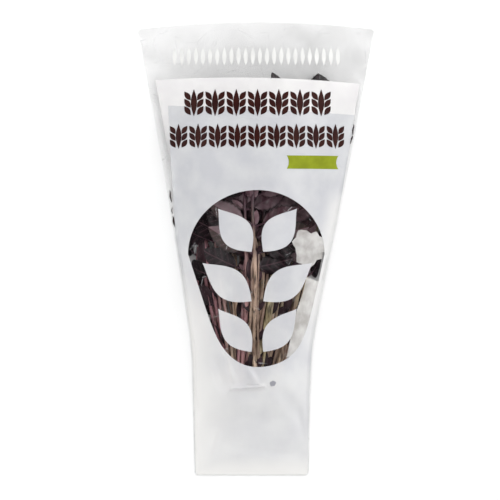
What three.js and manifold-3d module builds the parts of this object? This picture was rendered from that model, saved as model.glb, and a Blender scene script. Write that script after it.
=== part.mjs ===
// A bunch of purple basil in its tapered clear herb sleeve, lying on the sleeve's back film.
// Millimetres. X runs across the sleeve, Y from its closed foot to its open mouth, Z up.
// The origin is on the surface, under the middle of the sleeve's box.
import * as THREE from 'three';
import Module from 'manifold-3d';
import { mergeVertices } from 'three/addons/utils/BufferGeometryUtils.js';

// ---- Sleeve: driving dimensions ----
const LENGTH = 350;
const FOOT_Y = -LENGTH / 2;
const MOUTH_Y = LENGTH / 2;
const MOUTH_BOW = 4.8; // the mouth line bows up this far between its corners
const MOUTH_HALF_WIDTH = 91.3;
const CONE_FLARE = 0.184; // half-width gained per mm of the cone
const FOOT_HALF_WIDTH = 44;
const LEG_FLARE = 0.02; // half-width gained per mm of the straight leg
const LEG_BLEND = 3; // softness of the turn from leg to cone
const LEG_SHIFT = -3.3; // the leg stands this far to one side of the mouth
const CORNER_RADIUS = 3;
const FILM = 0.6;
const WELD_WIDTH = 3;
const SHIFT_SPAN = [-110, 90]; // between these the sleeve's middle comes back to zero
const ARCH_WALL = 0.8; // the front film's inside stands in from its outside by this at the weld
const INNER_LIP = 0.05;
const CUTTER_MARGIN = 20;
const ARCH_POWER = 2.4; // section of the front film: 1 - |u| ** power
const ARCH_STEPS = 14;
const SLEEVE_ROWS = 24;

// Height of the front film over the weld, from the foot to the mouth: [y, height].
const ARCH_HEIGHTS = [
  [-175, 0],
  [-172, 0],
  [-160, 3],
  [-138, 4],
  [-112, 20],
  [-80, 22.5],
  [-40, 30],
  [-8, 36.5],
  [60, 36],
  [110, 30],
  [142, 21],
  [175, 13],
];

// ---- Basil: driving dimensions ----
const SPRIG_COUNT = 11;
const SEED = 1058;
const GOLDEN = 0.618034;
const SHUFFLE = 0.45; // how far the pile departs from sides first, middle last
const BED = FILM + 0.3; // height at which the first sprig lies
const CUT_Y = -108; // where the stems are cut
const CUT_SWAY = 3;
const BUNDLE_X = -5; // middle of the cut ends
const BUNDLE_HALF_WIDTH = 22;
const BUNDLE_ORDER = 0.75; // share of a cut end's place that follows its lane
const FAN_END_Y = 60; // above it the stems run with the cone of the sleeve
const FAN_POWER = 2.8;
const LANE_REACH = 0.8; // share of the sleeve's half-width that the stems fan out to
const BOW = 2.5; // sideways bend of a stem
const BOW_TURNS = 1.2;
const TIP_Y = 103; // where the middle stem ends
const TIP_TILT = 10; // the stems end higher towards the right by this much
const TIP_SWAY = 7;
const LEAFY_Y = -4; // where the leaves begin
const LEAFY_SWAY = 20;
const STEM_RADIUS = 1.9; // half the side of a square stem at its cut
const STEM_SWAY = 0.35;
const STEM_TIP_RADIUS = 0.85;
const STEM_TAPER = 1.3;
const STEM_STEPS = 17;
const STEM_LIFT = 0.15; // gap under a stem
const STEM_ROOM = 0.75; // height beyond its own that a stem takes up in the pile
const RIDGE_LOW = 5.2; // half-width of the ridge over a bare stem
const RIDGE_HIGH = 15; // half-width of the ridge over a stem among leaves
const RIDGE_MIN = 0.4;

// ---- Leaves: driving dimensions ----
const LEAF_PAIRS = 5;
const LEAF_LENGTH = 38;
const LEAF_HALF_WIDTH = 9.2;
const LEAF_SIZE = [0.8, 1.12]; // smallest and largest share of that size
const UPPER_SIZE = 0.78; // share of that size in the uppermost pair
const TOP_SIZE = [0.62, 0.75]; // shares of that size in the two leaves at the tip
const TOP_HALF_WIDTH = 5.6;
const TOP_PETIOLE = 2.5;
const TOP_OPENING = [0.12, 0.4];
const TOP_BEND = 0.004;
const OPENING_LOW = 1.25; // angle between stem and leaf in the lowest pair, in radians
const OPENING_HIGH = 0.55;
const OPENING_SWAY = 0.25;
const BEND = 0.006; // radians per mm that a leaf turns along its length, at most
const NODE_SWAY = 1.5;
const PETIOLE = 8;
const PETIOLE_LOW = 1.2;
const PETIOLE_HIGH = 0.7;
const PETIOLE_HALF_WIDTH = 0.8;
const PETIOLE_THICKNESS = 1.2;
const BLADE = 0.6; // thickness of a leaf blade
const CUP = 0.12; // the edges of a blade stand this much over its midrib
const BLADE_ROWS = [[0.15, 0.94], [0.38, 1.08], [0.62, 0.94], [0.84, 1.08]]; // place, tooth
const TIP_HALF_WIDTH = 0.4;
const LEVELS = [0.72, 2.08]; // heights of the two layers of leaves in one sprig
const SHEET = 2.85; // thickness that the leaves of one sprig take up in the pile
const RIPPLE = 0.3; // unevenness of that thickness
const LEAF_REACH = 36; // how far leaves spread to each side of their stem
const REACH_MARGIN = 2;
const REACH_FADE = 10;
const WALL_LOW = 0.95; // share of the sleeve's half-width open to the lowest sprig's leaves
const WALL_STEP = 0.02; // each sprig above it has this much less

const wasm = await Module();
wasm.setup();

// ---- Small mathematics ----
const clamp = (value, low, high) => Math.min(Math.max(value, low), high);
const mix = (from, to, share) => from + (to - from) * share;
const ease = (low, high, value) => {
  const t = clamp((value - low) / (high - low), 0, 1);
  return t * t * (3 - 2 * t);
};

// A repeatable row of numbers between 0 and 1. The first few follow the seed and are passed over.
function makeRandom(seed) {
  let state = seed;
  const next = () => {
    state = (state * 16807) % 2147483647;
    return state / 2147483647;
  };
  for (let skipped = 0; skipped < 5; skipped += 1) {
    next();
  }
  return next;
}

// ---- Solids ----
function toGeometry(positions, indices) {
  const geometry = new THREE.BufferGeometry();
  geometry.setAttribute('position', new THREE.Float32BufferAttribute(positions, 3));
  geometry.setIndex(indices);
  return geometry;
}

function toSolid(geometry) {
  const bare = geometry.clone();
  bare.deleteAttribute('normal');
  bare.deleteAttribute('uv');
  const merged = mergeVertices(bare, 1e-4);
  return new wasm.Manifold(
    new wasm.Mesh({
      numProp: 3,
      vertProperties: new Float32Array(merged.attributes.position.array),
      triVerts: new Uint32Array(merged.index.array),
    }),
  );
}

function fromSolid(solid) {
  const mesh = solid.getMesh();
  return toGeometry(Array.from(mesh.vertProperties), Array.from(mesh.triVerts));
}

// A closed solid through rings of points, each counter-clockwise in X and Z.
function loft(rings) {
  const size = rings[0].length;
  const last = (rings.length - 1) * size;
  const indices = [];
  for (let row = 0; row < last; row += size) {
    for (let i = 0; i < size; i += 1) {
      const a = row + i;
      const b = row + ((i + 1) % size);
      indices.push(a, a + size, b + size, a, b + size, b);
    }
  }
  const cap = (ring) => THREE.ShapeUtils.triangulateShape(ring.map(([x, , z]) => new THREE.Vector2(x, z)), []);
  cap(rings[0]).forEach(([a, b, c]) => indices.push(a, b, c));
  cap(rings[rings.length - 1]).forEach(([a, b, c]) => indices.push(last + a, last + c, last + b));
  return toGeometry(rings.flat(2), indices);
}

// A thin sheet: rows of points, each row three across, with the same triangles on both faces.
function sheet(topRows, bottomRows) {
  const rows = topRows.length;
  const count = rows * 3;
  const indices = [];
  const wall = (a, b) => indices.push(a, a + count, b + count, a, b + count, b);
  for (let row = 0; row + 1 < rows; row += 1) {
    for (let column = 0; column < 2; column += 1) {
      const a = row * 3 + column;
      const halves = [[a, a + 1, a + 4], [a, a + 4, a + 3]];
      for (const [p, q, r] of halves) {
        indices.push(p, q, r);
        indices.push(p + count, r + count, q + count);
      }
    }
    wall(row * 3 + 3, row * 3);
    wall(row * 3 + 2, row * 3 + 5);
  }
  const end = (rows - 1) * 3;
  wall(0, 1);
  wall(1, 2);
  wall(end + 2, end + 1);
  wall(end + 1, end);
  return toGeometry([...topRows.flat(2), ...bottomRows.flat(2)], indices);
}

// ---- Sleeve ----
const cornerY = MOUTH_Y - MOUTH_BOW;

function halfWidth(y) {
  const leg = FOOT_HALF_WIDTH + (y - FOOT_Y) * LEG_FLARE;
  const cone = MOUTH_HALF_WIDTH + (y - cornerY) * CONE_FLARE;
  const corner = clamp(CORNER_RADIUS - (y - FOOT_Y), 0, CORNER_RADIUS);
  const rounding = CORNER_RADIUS - Math.sqrt(CORNER_RADIUS ** 2 - corner ** 2);
  return (leg + cone + Math.hypot(leg - cone, LEG_BLEND)) / 2 - rounding;
}

const middleX = (y) => LEG_SHIFT * (1 - ease(...SHIFT_SPAN, y));

function archHeight(y) {
  const next = clamp(ARCH_HEIGHTS.findIndex(([station]) => station >= y), 1, Infinity);
  if (y > MOUTH_Y) {
    return ARCH_HEIGHTS[ARCH_HEIGHTS.length - 1][1];
  }
  const [lowY, low] = ARCH_HEIGHTS[next - 1];
  const [highY, high] = ARCH_HEIGHTS[next];
  return mix(low, high, (y - lowY) / (highY - lowY));
}

// The curve of the front film across the sleeve, from right to left.
function arch(y, half, base, height) {
  return Array.from({ length: ARCH_STEPS + 1 }, (_, i) => {
    const u = Math.cos((Math.PI * i) / ARCH_STEPS);
    return [middleX(y) + u * half, y, base + height * (1 - Math.abs(u) ** ARCH_POWER)];
  });
}

function outerRing(y) {
  const half = halfWidth(y);
  const right = middleX(y) + half;
  const left = middleX(y) - half;
  const front = arch(y, half - WELD_WIDTH, 2 * FILM, archHeight(y));
  return [[left, y, 0], [right, y, 0], [right, y, 2 * FILM], ...front, [left, y, 2 * FILM]];
}

function innerRing(y) {
  const half = halfWidth(y) - WELD_WIDTH - ARCH_WALL;
  const front = arch(y, half, FILM + INNER_LIP, archHeight(y) - INNER_LIP);
  return [[middleX(y) - half, y, FILM], [middleX(y) + half, y, FILM], ...front];
}

// Everything past the bowed mouth line and its two round corners.
function mouthCutter() {
  const outside = MOUTH_HALF_WIDTH + CUTTER_MARGIN;
  const cornerX = MOUTH_HALF_WIDTH - CORNER_RADIUS;
  const arcY = cornerY - CORNER_RADIUS;
  const shape = new THREE.Shape();
  shape.moveTo(-outside, arcY);
  shape.absarc(-cornerX, arcY, CORNER_RADIUS, Math.PI, Math.PI / 2, true);
  shape.quadraticCurveTo(0, MOUTH_Y + MOUTH_BOW, cornerX, cornerY);
  shape.absarc(cornerX, arcY, CORNER_RADIUS, Math.PI / 2, 0, true);
  shape.lineTo(outside, arcY);
  shape.lineTo(outside, MOUTH_Y + CUTTER_MARGIN);
  shape.lineTo(-outside, MOUTH_Y + CUTTER_MARGIN);
  const depth = 3 * CUTTER_MARGIN;
  const cutter = new THREE.ExtrudeGeometry(shape, { depth, bevelEnabled: false, curveSegments: 8 });
  return cutter.translate(0, 0, -CUTTER_MARGIN / 2);
}

// Back and front film welded along both sides and the foot, open at the mouth.
function makeSleeve() {
  const weldY = FOOT_Y + WELD_WIDTH;
  const rows = Array.from({ length: SLEEVE_ROWS }, (_, i) => mix(weldY, MOUTH_Y + 1, (i + 1) / SLEEVE_ROWS));
  const foot = [FOOT_Y, FOOT_Y + CORNER_RADIUS / 4, weldY];
  const past = innerRing(MOUTH_Y + 1).map(([x, y, z]) => [x, y + WELD_WIDTH, z]);
  const outer = toSolid(loft([...foot, ...rows].map(outerRing)));
  const inner = toSolid(loft([...rows.map(innerRing), past]));
  return outer.subtract(inner).subtract(toSolid(mouthCutter()));
}

// ---- Sprigs ----
// Lanes spread over the width in golden steps. Those at the sides tend to lie lowest in the pile.
function makeLanes() {
  const random = makeRandom(SEED);
  return Array.from({ length: SPRIG_COUNT }, (_, index) => 2 * ((0.5 + index * GOLDEN) % 1) - 1)
    .map((lane) => ({ lane, order: Math.abs(lane) + SHUFFLE * random() }))
    .sort((a, b) => b.order - a.order)
    .map(({ lane }) => lane);
}

function makeSprig(lane, index) {
  const random = makeRandom(SEED + 7919 * (index + 1));
  const sway = (size) => size * (2 * random() - 1);
  const sprig = {
    index,
    lane,
    cutX: BUNDLE_X + BUNDLE_HALF_WIDTH * (BUNDLE_ORDER * lane + sway(1 - BUNDLE_ORDER)),
    cutY: CUT_Y + sway(CUT_SWAY),
    tipY: TIP_Y + TIP_TILT * lane + sway(TIP_SWAY),
    leafY: LEAFY_Y + sway(LEAFY_SWAY),
    radius: STEM_RADIUS + sway(STEM_SWAY),
    bowPhase: sway(Math.PI),
    ripple: [sway(Math.PI), sway(Math.PI)],
    wall: WALL_LOW - WALL_STEP * index,
  };
  return { ...sprig, leaves: makeLeaves(sprig, random, sway) };
}

// Pairs of leaves up the stem, each pair in the other layer from the pair below it,
// and two small upright leaves at the tip.
function makeLeaves(sprig, random, sway) {
  const leaves = [];
  for (let pair = 0; pair < LEAF_PAIRS; pair += 1) {
    const t = pair / LEAF_PAIRS;
    for (const side of [-1, 1]) {
      const opening = mix(OPENING_LOW, OPENING_HIGH, t) + sway(OPENING_SWAY);
      const petiole = PETIOLE * mix(PETIOLE_LOW, PETIOLE_HIGH, t);
      const size = mix(1, UPPER_SIZE, t) * mix(...LEAF_SIZE, random());
      const length = Math.min(LEAF_LENGTH * size, LEAF_REACH / Math.sin(opening) - petiole);
      leaves.push({
        y: mix(sprig.leafY, sprig.tipY, t) + sway(NODE_SWAY),
        angle: side * opening,
        bend: -side * BEND * random(),
        petiole,
        length,
        half: LEAF_HALF_WIDTH * mix(size, length / LEAF_LENGTH, 0.5),
        level: LEVELS[pair % 2],
      });
    }
  }
  for (const side of [-1, 1]) {
    leaves.push({
      y: sprig.tipY - TOP_PETIOLE / 2,
      angle: side * mix(...TOP_OPENING, random()),
      bend: side * TOP_BEND,
      petiole: TOP_PETIOLE,
      length: LEAF_LENGTH * mix(...TOP_SIZE, random()),
      half: TOP_HALF_WIDTH,
      level: LEVELS[side < 0 ? 1 : 0],
    });
  }
  return leaves;
}

const sprigs = makeLanes().map(makeSprig);

function stemX(sprig, y) {
  const t = clamp((y - sprig.cutY) / (FAN_END_Y - sprig.cutY), 0, 1);
  const lane = middleX(y) + sprig.lane * LANE_REACH * halfWidth(y);
  const bow = BOW * t * Math.sin(2 * Math.PI * BOW_TURNS * t + sprig.bowPhase);
  return mix(sprig.cutX, lane, 1 - (1 - t) ** FAN_POWER) + bow;
}

function stemRadius(sprig, y) {
  const t = clamp((y - sprig.cutY) / (sprig.tipY - sprig.cutY), 0, 1);
  return mix(sprig.radius, STEM_TIP_RADIUS, t ** STEM_TAPER);
}

// Height that one sprig adds to the pile at a place: its leaves, and the ridge over its stem.
function layer(sprig, x, y) {
  const across = x - stemX(sprig, y);
  const { leafY, tipY, cutY } = sprig;
  const leafy = ease(leafY - 60, leafY - 14, y) * (1 - ease(tipY + 30, tipY + 42, y));
  const edge = LEAF_REACH + REACH_MARGIN;
  const reach = 1 - ease(edge, edge + REACH_FADE, Math.abs(across));
  const ripple = RIPPLE * Math.sin(x / 11 + sprig.ripple[0]) * Math.sin(y / 12 + sprig.ripple[1]);
  const room = Math.max(2 * stemRadius(sprig, y) + STEM_ROOM - SHEET * leafy, RIDGE_MIN);
  const present = ease(cutY - 16, cutY - 5, y) * (1 - ease(tipY, tipY + 25, y));
  const ridge = Math.exp(-((across / mix(RIDGE_LOW, RIDGE_HIGH, ease(-95, 20, y))) ** 4));
  return (SHEET + ripple) * leafy * reach + room * present * ridge;
}

// Height of the pile of all sprigs below one.
function bed(sprig, x, y) {
  return sprigs.slice(0, sprig.index).reduce((height, lower) => height + layer(lower, x, y), BED);
}

// A square stem: rings of four corners, laid on the sprigs below it.
function makeStem(sprig) {
  const rings = [];
  for (let step = 0; step <= STEM_STEPS; step += 1) {
    const y = mix(sprig.cutY, sprig.tipY, step / STEM_STEPS);
    const r = stemRadius(sprig, y);
    const corners = [[-r, 0], [r, 0], [r, 2 * r], [-r, 2 * r]];
    rings.push(corners.map(([across, up]) => {
      const x = stemX(sprig, y) + across;
      return [x, y, bed(sprig, x, y) + STEM_LIFT + up];
    }));
  }
  return toSolid(loft(rings));
}

// Half-width of a blade along its length, as a share: widest before the middle, pointed.
const bladeOutline = (s) => (s ** 0.62 * (1 - s) ** 0.85) / 0.3676;

// Keeps a place inside the sleeve by pressing it softly in from the side.
function pressIn(sprig, x, y) {
  const limit = sprig.wall * (halfWidth(y) - WELD_WIDTH);
  const start = 0.8 * limit;
  const out = Math.abs(x - middleX(y)) - start;
  if (out <= 0) {
    return x;
  }
  const pressed = start + (limit - start) * (1 - Math.exp(-out / (limit - start)));
  return middleX(y) + Math.sign(x - middleX(y)) * pressed;
}

// One row of a leaf, three points across, at a distance along it from the stem's axis.
function leafRow(sprig, leaf, along, half, level) {
  const turn = leaf.angle + leaf.bend * along;
  const way = leaf.angle + (leaf.bend * along) / 2;
  const x = stemX(sprig, leaf.y) + Math.sin(way) * along;
  const y = leaf.y + Math.cos(way) * along;
  return [-1, 0, 1].map((side) => {
    const rowY = y - side * half * Math.sin(turn);
    const rowX = pressIn(sprig, x + side * half * Math.cos(turn), rowY);
    return [rowX, rowY, bed(sprig, rowX, rowY) + level + CUP * Math.abs(side)];
  });
}

// One leaf: a petiole that starts inside the stem, then a toothed blade.
function makeLeaf(sprig, leaf) {
  const { petiole, length } = leaf;
  const root = stemRadius(sprig, leaf.y) + STEM_LIFT;
  const rows = [
    { row: leafRow(sprig, leaf, 0, PETIOLE_HALF_WIDTH, root), thickness: PETIOLE_THICKNESS },
    { row: leafRow(sprig, leaf, petiole, PETIOLE_HALF_WIDTH, leaf.level), thickness: PETIOLE_THICKNESS },
  ];
  for (const [place, tooth] of BLADE_ROWS) {
    const half = tooth * leaf.half * bladeOutline(place);
    rows.push({ row: leafRow(sprig, leaf, petiole + place * length, half, leaf.level), thickness: BLADE });
  }
  const tip = leafRow(sprig, leaf, petiole + length, TIP_HALF_WIDTH, leaf.level);
  rows.push({ row: tip, thickness: BLADE });
  const face = (share) => rows.map(({ row, thickness }) => row.map(([x, y, z]) => [x, y, z + share * thickness]));
  return toSolid(sheet(face(0.5), face(-0.5)));
}

function makeSprigSolid(sprig) {
  return sprig.leaves.reduce((solid, leaf) => solid.add(makeLeaf(sprig, leaf)), makeStem(sprig));
}

// ---- Scene ----
const filmFinish = new THREE.MeshStandardMaterial({ color: 0xe4e5e7, roughness: 0.3, metalness: 0 });
const leafFinish = new THREE.MeshStandardMaterial({ color: 0x2e1c26, roughness: 0.45, metalness: 0 });

const group = new THREE.Group();

function addMesh(name, solid, finish) {
  const mesh = new THREE.Mesh(fromSolid(solid), finish.clone());
  mesh.name = name;
  group.add(mesh);
}

addMesh('sleeve', makeSleeve(), filmFinish);
sprigs.forEach((sprig) => {
  addMesh(`sprig_${String(sprig.index + 1).padStart(2, '0')}`, makeSprigSolid(sprig), leafFinish);
});

export default group;
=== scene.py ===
import math

import bpy
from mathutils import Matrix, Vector, noise
from mathutils.geometry import delaunay_2d_cdt


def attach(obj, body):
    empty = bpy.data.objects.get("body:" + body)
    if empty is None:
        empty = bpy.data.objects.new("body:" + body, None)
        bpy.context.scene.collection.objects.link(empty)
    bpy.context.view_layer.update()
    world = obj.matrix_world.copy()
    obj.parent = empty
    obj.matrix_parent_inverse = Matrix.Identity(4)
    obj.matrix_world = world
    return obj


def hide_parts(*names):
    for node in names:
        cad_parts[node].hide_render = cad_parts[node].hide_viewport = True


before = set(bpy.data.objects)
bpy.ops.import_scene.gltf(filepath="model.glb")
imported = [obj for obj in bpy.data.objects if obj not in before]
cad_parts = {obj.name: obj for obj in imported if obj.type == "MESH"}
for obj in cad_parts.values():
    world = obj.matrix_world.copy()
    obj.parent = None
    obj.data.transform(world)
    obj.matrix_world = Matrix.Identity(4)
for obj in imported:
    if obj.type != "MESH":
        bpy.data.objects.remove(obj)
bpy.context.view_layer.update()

# ---- Back film ----
# The rear half of the sleeve, which everything else lies on. It is thin clear polypropylene
# film, printed white from the foot to a straight line below the mouth, cut to a tapered outline
# and heat-sealed to the front film along both sides and the foot. Lengths here are millimetres.
MM = 0.001
LENGTH = 350
FOOT_Y = -LENGTH / 2
MOUTH_Y = LENGTH / 2
MOUTH_BOW = 4.8
MOUTH_HALF_WIDTH = 91.3
CORNER_Y = MOUTH_Y - MOUTH_BOW
CORNER_RADIUS = 3
CONE_FLARE = 0.184
FOOT_HALF_WIDTH = 44
LEG_FLARE = 0.02
LEG_BLEND = 3
LEG_SHIFT = -3.3
SHIFT_SPAN = (-110, 90)
WELD_WIDTH = 3
FILM = 0.25
PANEL_TOP = ((80.2, 127.8), (0, 134.6), (-78.1, 130.6))  # right, middle and left of its edge
PANEL_LEFT_INSET = (1, 6.3)  # the bare strip on the left opens over this span
PANEL_LEFT_SPAN = (10, 64)
PANEL_RIGHT_INSET = (1, 3.2)  # and the narrow one on the right over this span
PANEL_RIGHT_SPAN = (40, 110)
PANEL_FOOT_INSET = 0.7
SECOND_LEFT = 112  # the second print starts on a line from here on the left edge
SECOND_RIGHT = 103  # to here on the right edge
SECOND_INSET = (-2.3, 12.6)  # and its left side leaves the edge of the sleeve over this span
SECOND_SPAN = (0, 110.8)
SECOND_CORNER_X = -65
BEYOND = (120, -200)  # well past the edge and the foot of the sleeve
THIN_SIDES = (0.5, (100, 135))  # how much haze is taken off along the sides as painted light, up to where that ends
THIN_MOUTH = (0.28, (-10, 40))  # and at the left of the mouth, out to where that ends
EDGE_TURN = 1.0  # a sharper turn than this, in radians, shows as an edge
FILM_ROW = 2.5  # the film is cut into rows this far apart
FILM_COLUMNS = 30  # and this many columns on each side of its middle
COLUMN_CROWD = 0.25  # the larger, the closer they stand towards the edges
MOUTH_ROWS = 5  # more rows, from the corners up under the bow of the mouth
FOOT_STEPS = 5  # steps round a corner of the foot
CORNER_STEPS = 6
MOUTH_STEPS = 48
PANEL_STEPS = 110
PANEL_SIDE_TOP = 120  # the panel's sides run up to here, and its bowed top joins them
PANEL_TOP_STEPS = 40
SECOND_STEPS = 56


def clamp(value, low, high):
    return min(max(value, low), high)


def mix(start, end, share):
    return start + (end - start) * share


def ease(low, high, value):
    t = clamp((value - low) / (high - low), 0, 1)
    return t * t * (3 - 2 * t)


def half_width(y):
    leg = FOOT_HALF_WIDTH + (y - FOOT_Y) * LEG_FLARE
    cone = MOUTH_HALF_WIDTH + (y - CORNER_Y) * CONE_FLARE
    corner = clamp(CORNER_RADIUS - (y - FOOT_Y), 0, CORNER_RADIUS)
    rounding = CORNER_RADIUS - math.sqrt(CORNER_RADIUS**2 - corner**2)
    return (leg + cone + math.hypot(leg - cone, LEG_BLEND)) / 2 - rounding


def middle_x(y):
    return LEG_SHIFT * (1 - ease(*SHIFT_SPAN, y))


def film_rows():
    low, high = FOOT_Y + CORNER_RADIUS, CORNER_Y - CORNER_RADIUS
    steps = round((high - low) / FILM_ROW)
    return [mix(low, high, i / steps) for i in range(steps)]


def film_outline():
    """The cut edge of the sleeve, counter-clockwise from the left end of the foot."""
    arc_x = MOUTH_HALF_WIDTH - CORNER_RADIUS
    arc_y = CORNER_Y - CORNER_RADIUS
    turns = [math.pi / 2 * i / FOOT_STEPS for i in range(FOOT_STEPS)]
    rows = [FOOT_Y + CORNER_RADIUS * (1 - math.cos(turn)) for turn in turns] + film_rows()
    right = [(middle_x(y) + half_width(y), y) for y in rows]
    left = [(middle_x(y) - half_width(y), y) for y in reversed(rows)]
    corner, mouth = [], []
    for i in range(1, CORNER_STEPS + 1):
        turn = math.pi / 2 * i / CORNER_STEPS
        x = arc_x + CORNER_RADIUS * math.cos(turn)
        corner.append((x, arc_y + CORNER_RADIUS * math.sin(turn)))
    for i in range(1, MOUTH_STEPS):
        t = i / MOUTH_STEPS
        bow = mix(CORNER_Y, MOUTH_Y + MOUTH_BOW, 2 * t * (1 - t))
        mouth.append((arc_x * (1 - 2 * t), bow))
    return right + corner + mouth + [(-x, y) for x, y in reversed(corner)] + left


def cut_plan(loops):
    """Points and triangles that fill the first closed line and keep every other line as an edge."""
    points, edges = [], []
    for line in loops:
        first = len(points)
        points += [Vector(p) for p in line]
        edges += [(first + i, first + (i + 1) % len(line)) for i in range(len(line))]
    near = {(round(p.x), round(p.y)) for p in points}
    near |= {(x + dx, y) for x, y in near for dx in (-1, 1)}
    even = [i / FILM_COLUMNS for i in range(FILM_COLUMNS + 1)]
    shares = [u * (1 + COLUMN_CROWD - COLUMN_CROWD * u**2) for u in even]
    mouth_rows = [CORNER_Y - CORNER_RADIUS + FILM_ROW * i for i in range(MOUTH_ROWS)]
    for y in film_rows()[1:] + mouth_rows:
        for share in [-u for u in shares[:0:-1]] + shares:
            x = middle_x(y) + share * (half_width(y) - WELD_WIDTH)
            if (round(x), round(y)) not in near and inside(loops[0], x, y):
                points.append(Vector((x, y)))
    plan, _, triangles, _, _, _ = delaunay_2d_cdt(points, edges, [], 0, 1e-4)
    plan = [(p.x, p.y) for p in plan]
    return plan, [t for t in triangles if inside(loops[0], *middle_of(plan, t))]


def panel_outline():
    """The edge of the printed panel, the same on both films."""
    right, left, top = [], [], []
    for i in range(PANEL_STEPS + 1):
        y = mix(FOOT_Y + PANEL_FOOT_INSET, PANEL_SIDE_TOP, i / PANEL_STEPS)
        middle, half = middle_x(y), half_width(y)
        right.append((middle + half - strip(PANEL_RIGHT_INSET, PANEL_RIGHT_SPAN, y), y))
        left.append((middle - half + strip(PANEL_LEFT_INSET, PANEL_LEFT_SPAN, y), y))
    for i in range(PANEL_TOP_STEPS + 1):
        t = i / PANEL_TOP_STEPS
        pulls = ((1 - t) ** 2, 2 * t * (1 - t), t**2)
        x, y = [sum(pull * spot[axis] for pull, spot in zip(pulls, PANEL_TOP)) for axis in (0, 1)]
        top.append((x, y))
    return right + top + left[::-1]


def strip(inset, span, y):
    """Width of a bare strip that changes evenly from one end of its span to the other."""
    return mix(*inset, clamp((y - span[0]) / (span[1] - span[0]), 0, 1))


def second_edge(x):
    return mix(SECOND_LEFT, SECOND_RIGHT, (x + MOUTH_HALF_WIDTH) / (2 * MOUTH_HALF_WIDTH))


def second_outline():
    """The edge of the second print: a straight top, and a left side that leaves the panel's own."""
    rows = [mix(*SECOND_SPAN, i / SECOND_STEPS) for i in range(SECOND_STEPS + 1)]
    left = [(middle_x(y) - half_width(y) + strip(SECOND_INSET, SECOND_SPAN, y), y) for y in rows]
    top = [(x, second_edge(x)) for x in range(SECOND_CORNER_X, BEYOND[0] + 1, 5)]
    return [(-BEYOND[0], BEYOND[1]), (-BEYOND[0], 0), *left, *top, BEYOND]


def fade(amount, span, value):
    """An amount that is full up to the span and ends over it."""
    return amount * (1 - ease(*span, value))


def thin(x, y):
    """Share of its haze taken off the bare film, along the sides and left of the mouth: painted
    light that lightens the film where shade falls beside the arch.
    """
    return max(fade(*THIN_SIDES, y), fade(*THIN_MOUTH, x))


def inside(line, x, y):
    """True where a place lies within a closed line."""
    crossed = False
    for (ax, ay), (bx, by) in zip(line, line[1:] + line[:1]):
        if (ay > y) != (by > y) and x < ax + (bx - ax) * (y - ay) / (by - ay):
            crossed = not crossed
    return crossed


def middle_of(plan, triangle):
    return [sum(plan[i][axis] for i in triangle) / 3 for axis in (0, 1)]


def turn_up(plan, face):
    """A face's corners in the order that makes it look up."""
    pairs = zip(face, face[1:] + face[:1])
    area = sum(plan[a][0] * plan[b][1] - plan[b][0] * plan[a][1] for a, b in pairs)
    return face if area > 0 else face[::-1]


def place(name, vertices, faces, material, smooth=True):
    """A mesh object at the origin, from millimetres."""
    mesh = bpy.data.meshes.new(name)
    mesh.from_pydata([[axis * MM for axis in v] for v in vertices], [], faces)
    if smooth:
        mesh.shade_smooth()
        mesh.set_sharp_from_angle(angle=EDGE_TURN)
    mesh.materials.append(material)
    piece = bpy.data.objects.new(name, mesh)
    bpy.context.scene.collection.objects.link(piece)
    return piece


def store(mesh, name, values):
    attribute = mesh.attributes.new(name, "FLOAT", "POINT")
    attribute.data.foreach_set("value", values)


def lay_film(name, plan, faces, top, thickness, material, share=None):
    """A closed thin sheet over part of the plan, whose upper face follows top(x, y)."""
    faces = [turn_up(plan, list(face)) for face in faces]
    used = sorted({i for face in faces for i in face})
    index = {old: new for new, old in enumerate(used)}
    count = len(used)
    upper = [(*plan[i], top(*plan[i])) for i in used]
    lower = [(x, y, z - thickness) for x, y, z in upper]
    solid = []
    sides = set()
    for face in faces:
        ring = [index[i] for i in face]
        solid.append(ring)
        solid.append([i + count for i in reversed(ring)])
        sides |= set(zip(ring, ring[1:] + ring[:1]))
    solid += [(a, a + count, b + count, b) for a, b in sorted(sides) if (b, a) not in sides]
    film = place(name, upper + lower, solid, material)
    if share:
        store(film.data, "share", [share(x, y) for x, y, _ in upper] * 2)
    return film


def linear(colour):
    """An sRGB hex colour as the linear values that a shader takes."""
    parts = [int(colour[i : i + 2], 16) / 255 for i in (1, 3, 5)]
    return (*[c / 12.92 if c <= 0.04045 else ((c + 0.055) / 1.055) ** 2.4 for c in parts], 1)


def add(tree, kind, *given, output=0, **settings):
    """A new node with its settings and links, known by one of its outputs.

    Its inputs are values or other nodes' outputs, in their order, or in one dict that says where.
    """
    if isinstance(kind, tuple):
        kind, settings["operation"] = kind
    node = tree.nodes.new(kind)
    for name, value in settings.items():
        setattr(node, name, value)
    inputs = given[0] if given and isinstance(given[0], dict) else dict(enumerate(given))
    for socket, value in inputs.items():
        if isinstance(value, bpy.types.NodeSocket):
            tree.links.new(value, node.inputs[socket])
        else:
            node.inputs[socket].default_value = value
    return node.outputs[output] if node.outputs else None


NOISE, CELLS, OWN = "ShaderNodeTexNoise", "ShaderNodeTexVoronoi", "ShaderNodeAttribute"
BUMP, RANGE, RAMP = "ShaderNodeBump", "ShaderNodeMapRange", "ShaderNodeValToRGB"
SUM, LESS, TIMES = [("ShaderNodeMath", name) for name in ("ADD", "SUBTRACT", "MULTIPLY")]


def start_material(name):
    material = bpy.data.materials.new(name)
    material.use_nodes = True
    tree = material.node_tree
    tree.nodes.clear()
    return material, tree, add(tree, "ShaderNodeTexCoord", output="Object")


def end_material(tree, inputs):
    surface = add(tree, "ShaderNodeBsdfPrincipled", inputs)
    add(tree, "ShaderNodeOutputMaterial", {"Surface": surface})


def set_stops(ramp, stops):
    """The colours of a ramp, at their places along it."""
    elements = ramp.node.color_ramp.elements
    elements[0].position, elements[1].position = stops[0][0], stops[-1][0]
    for at, _ in stops[1:-1]:
        elements.new(at)
    for element, (_, colour) in zip(elements, stops):
        element.color = linear(colour)


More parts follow.
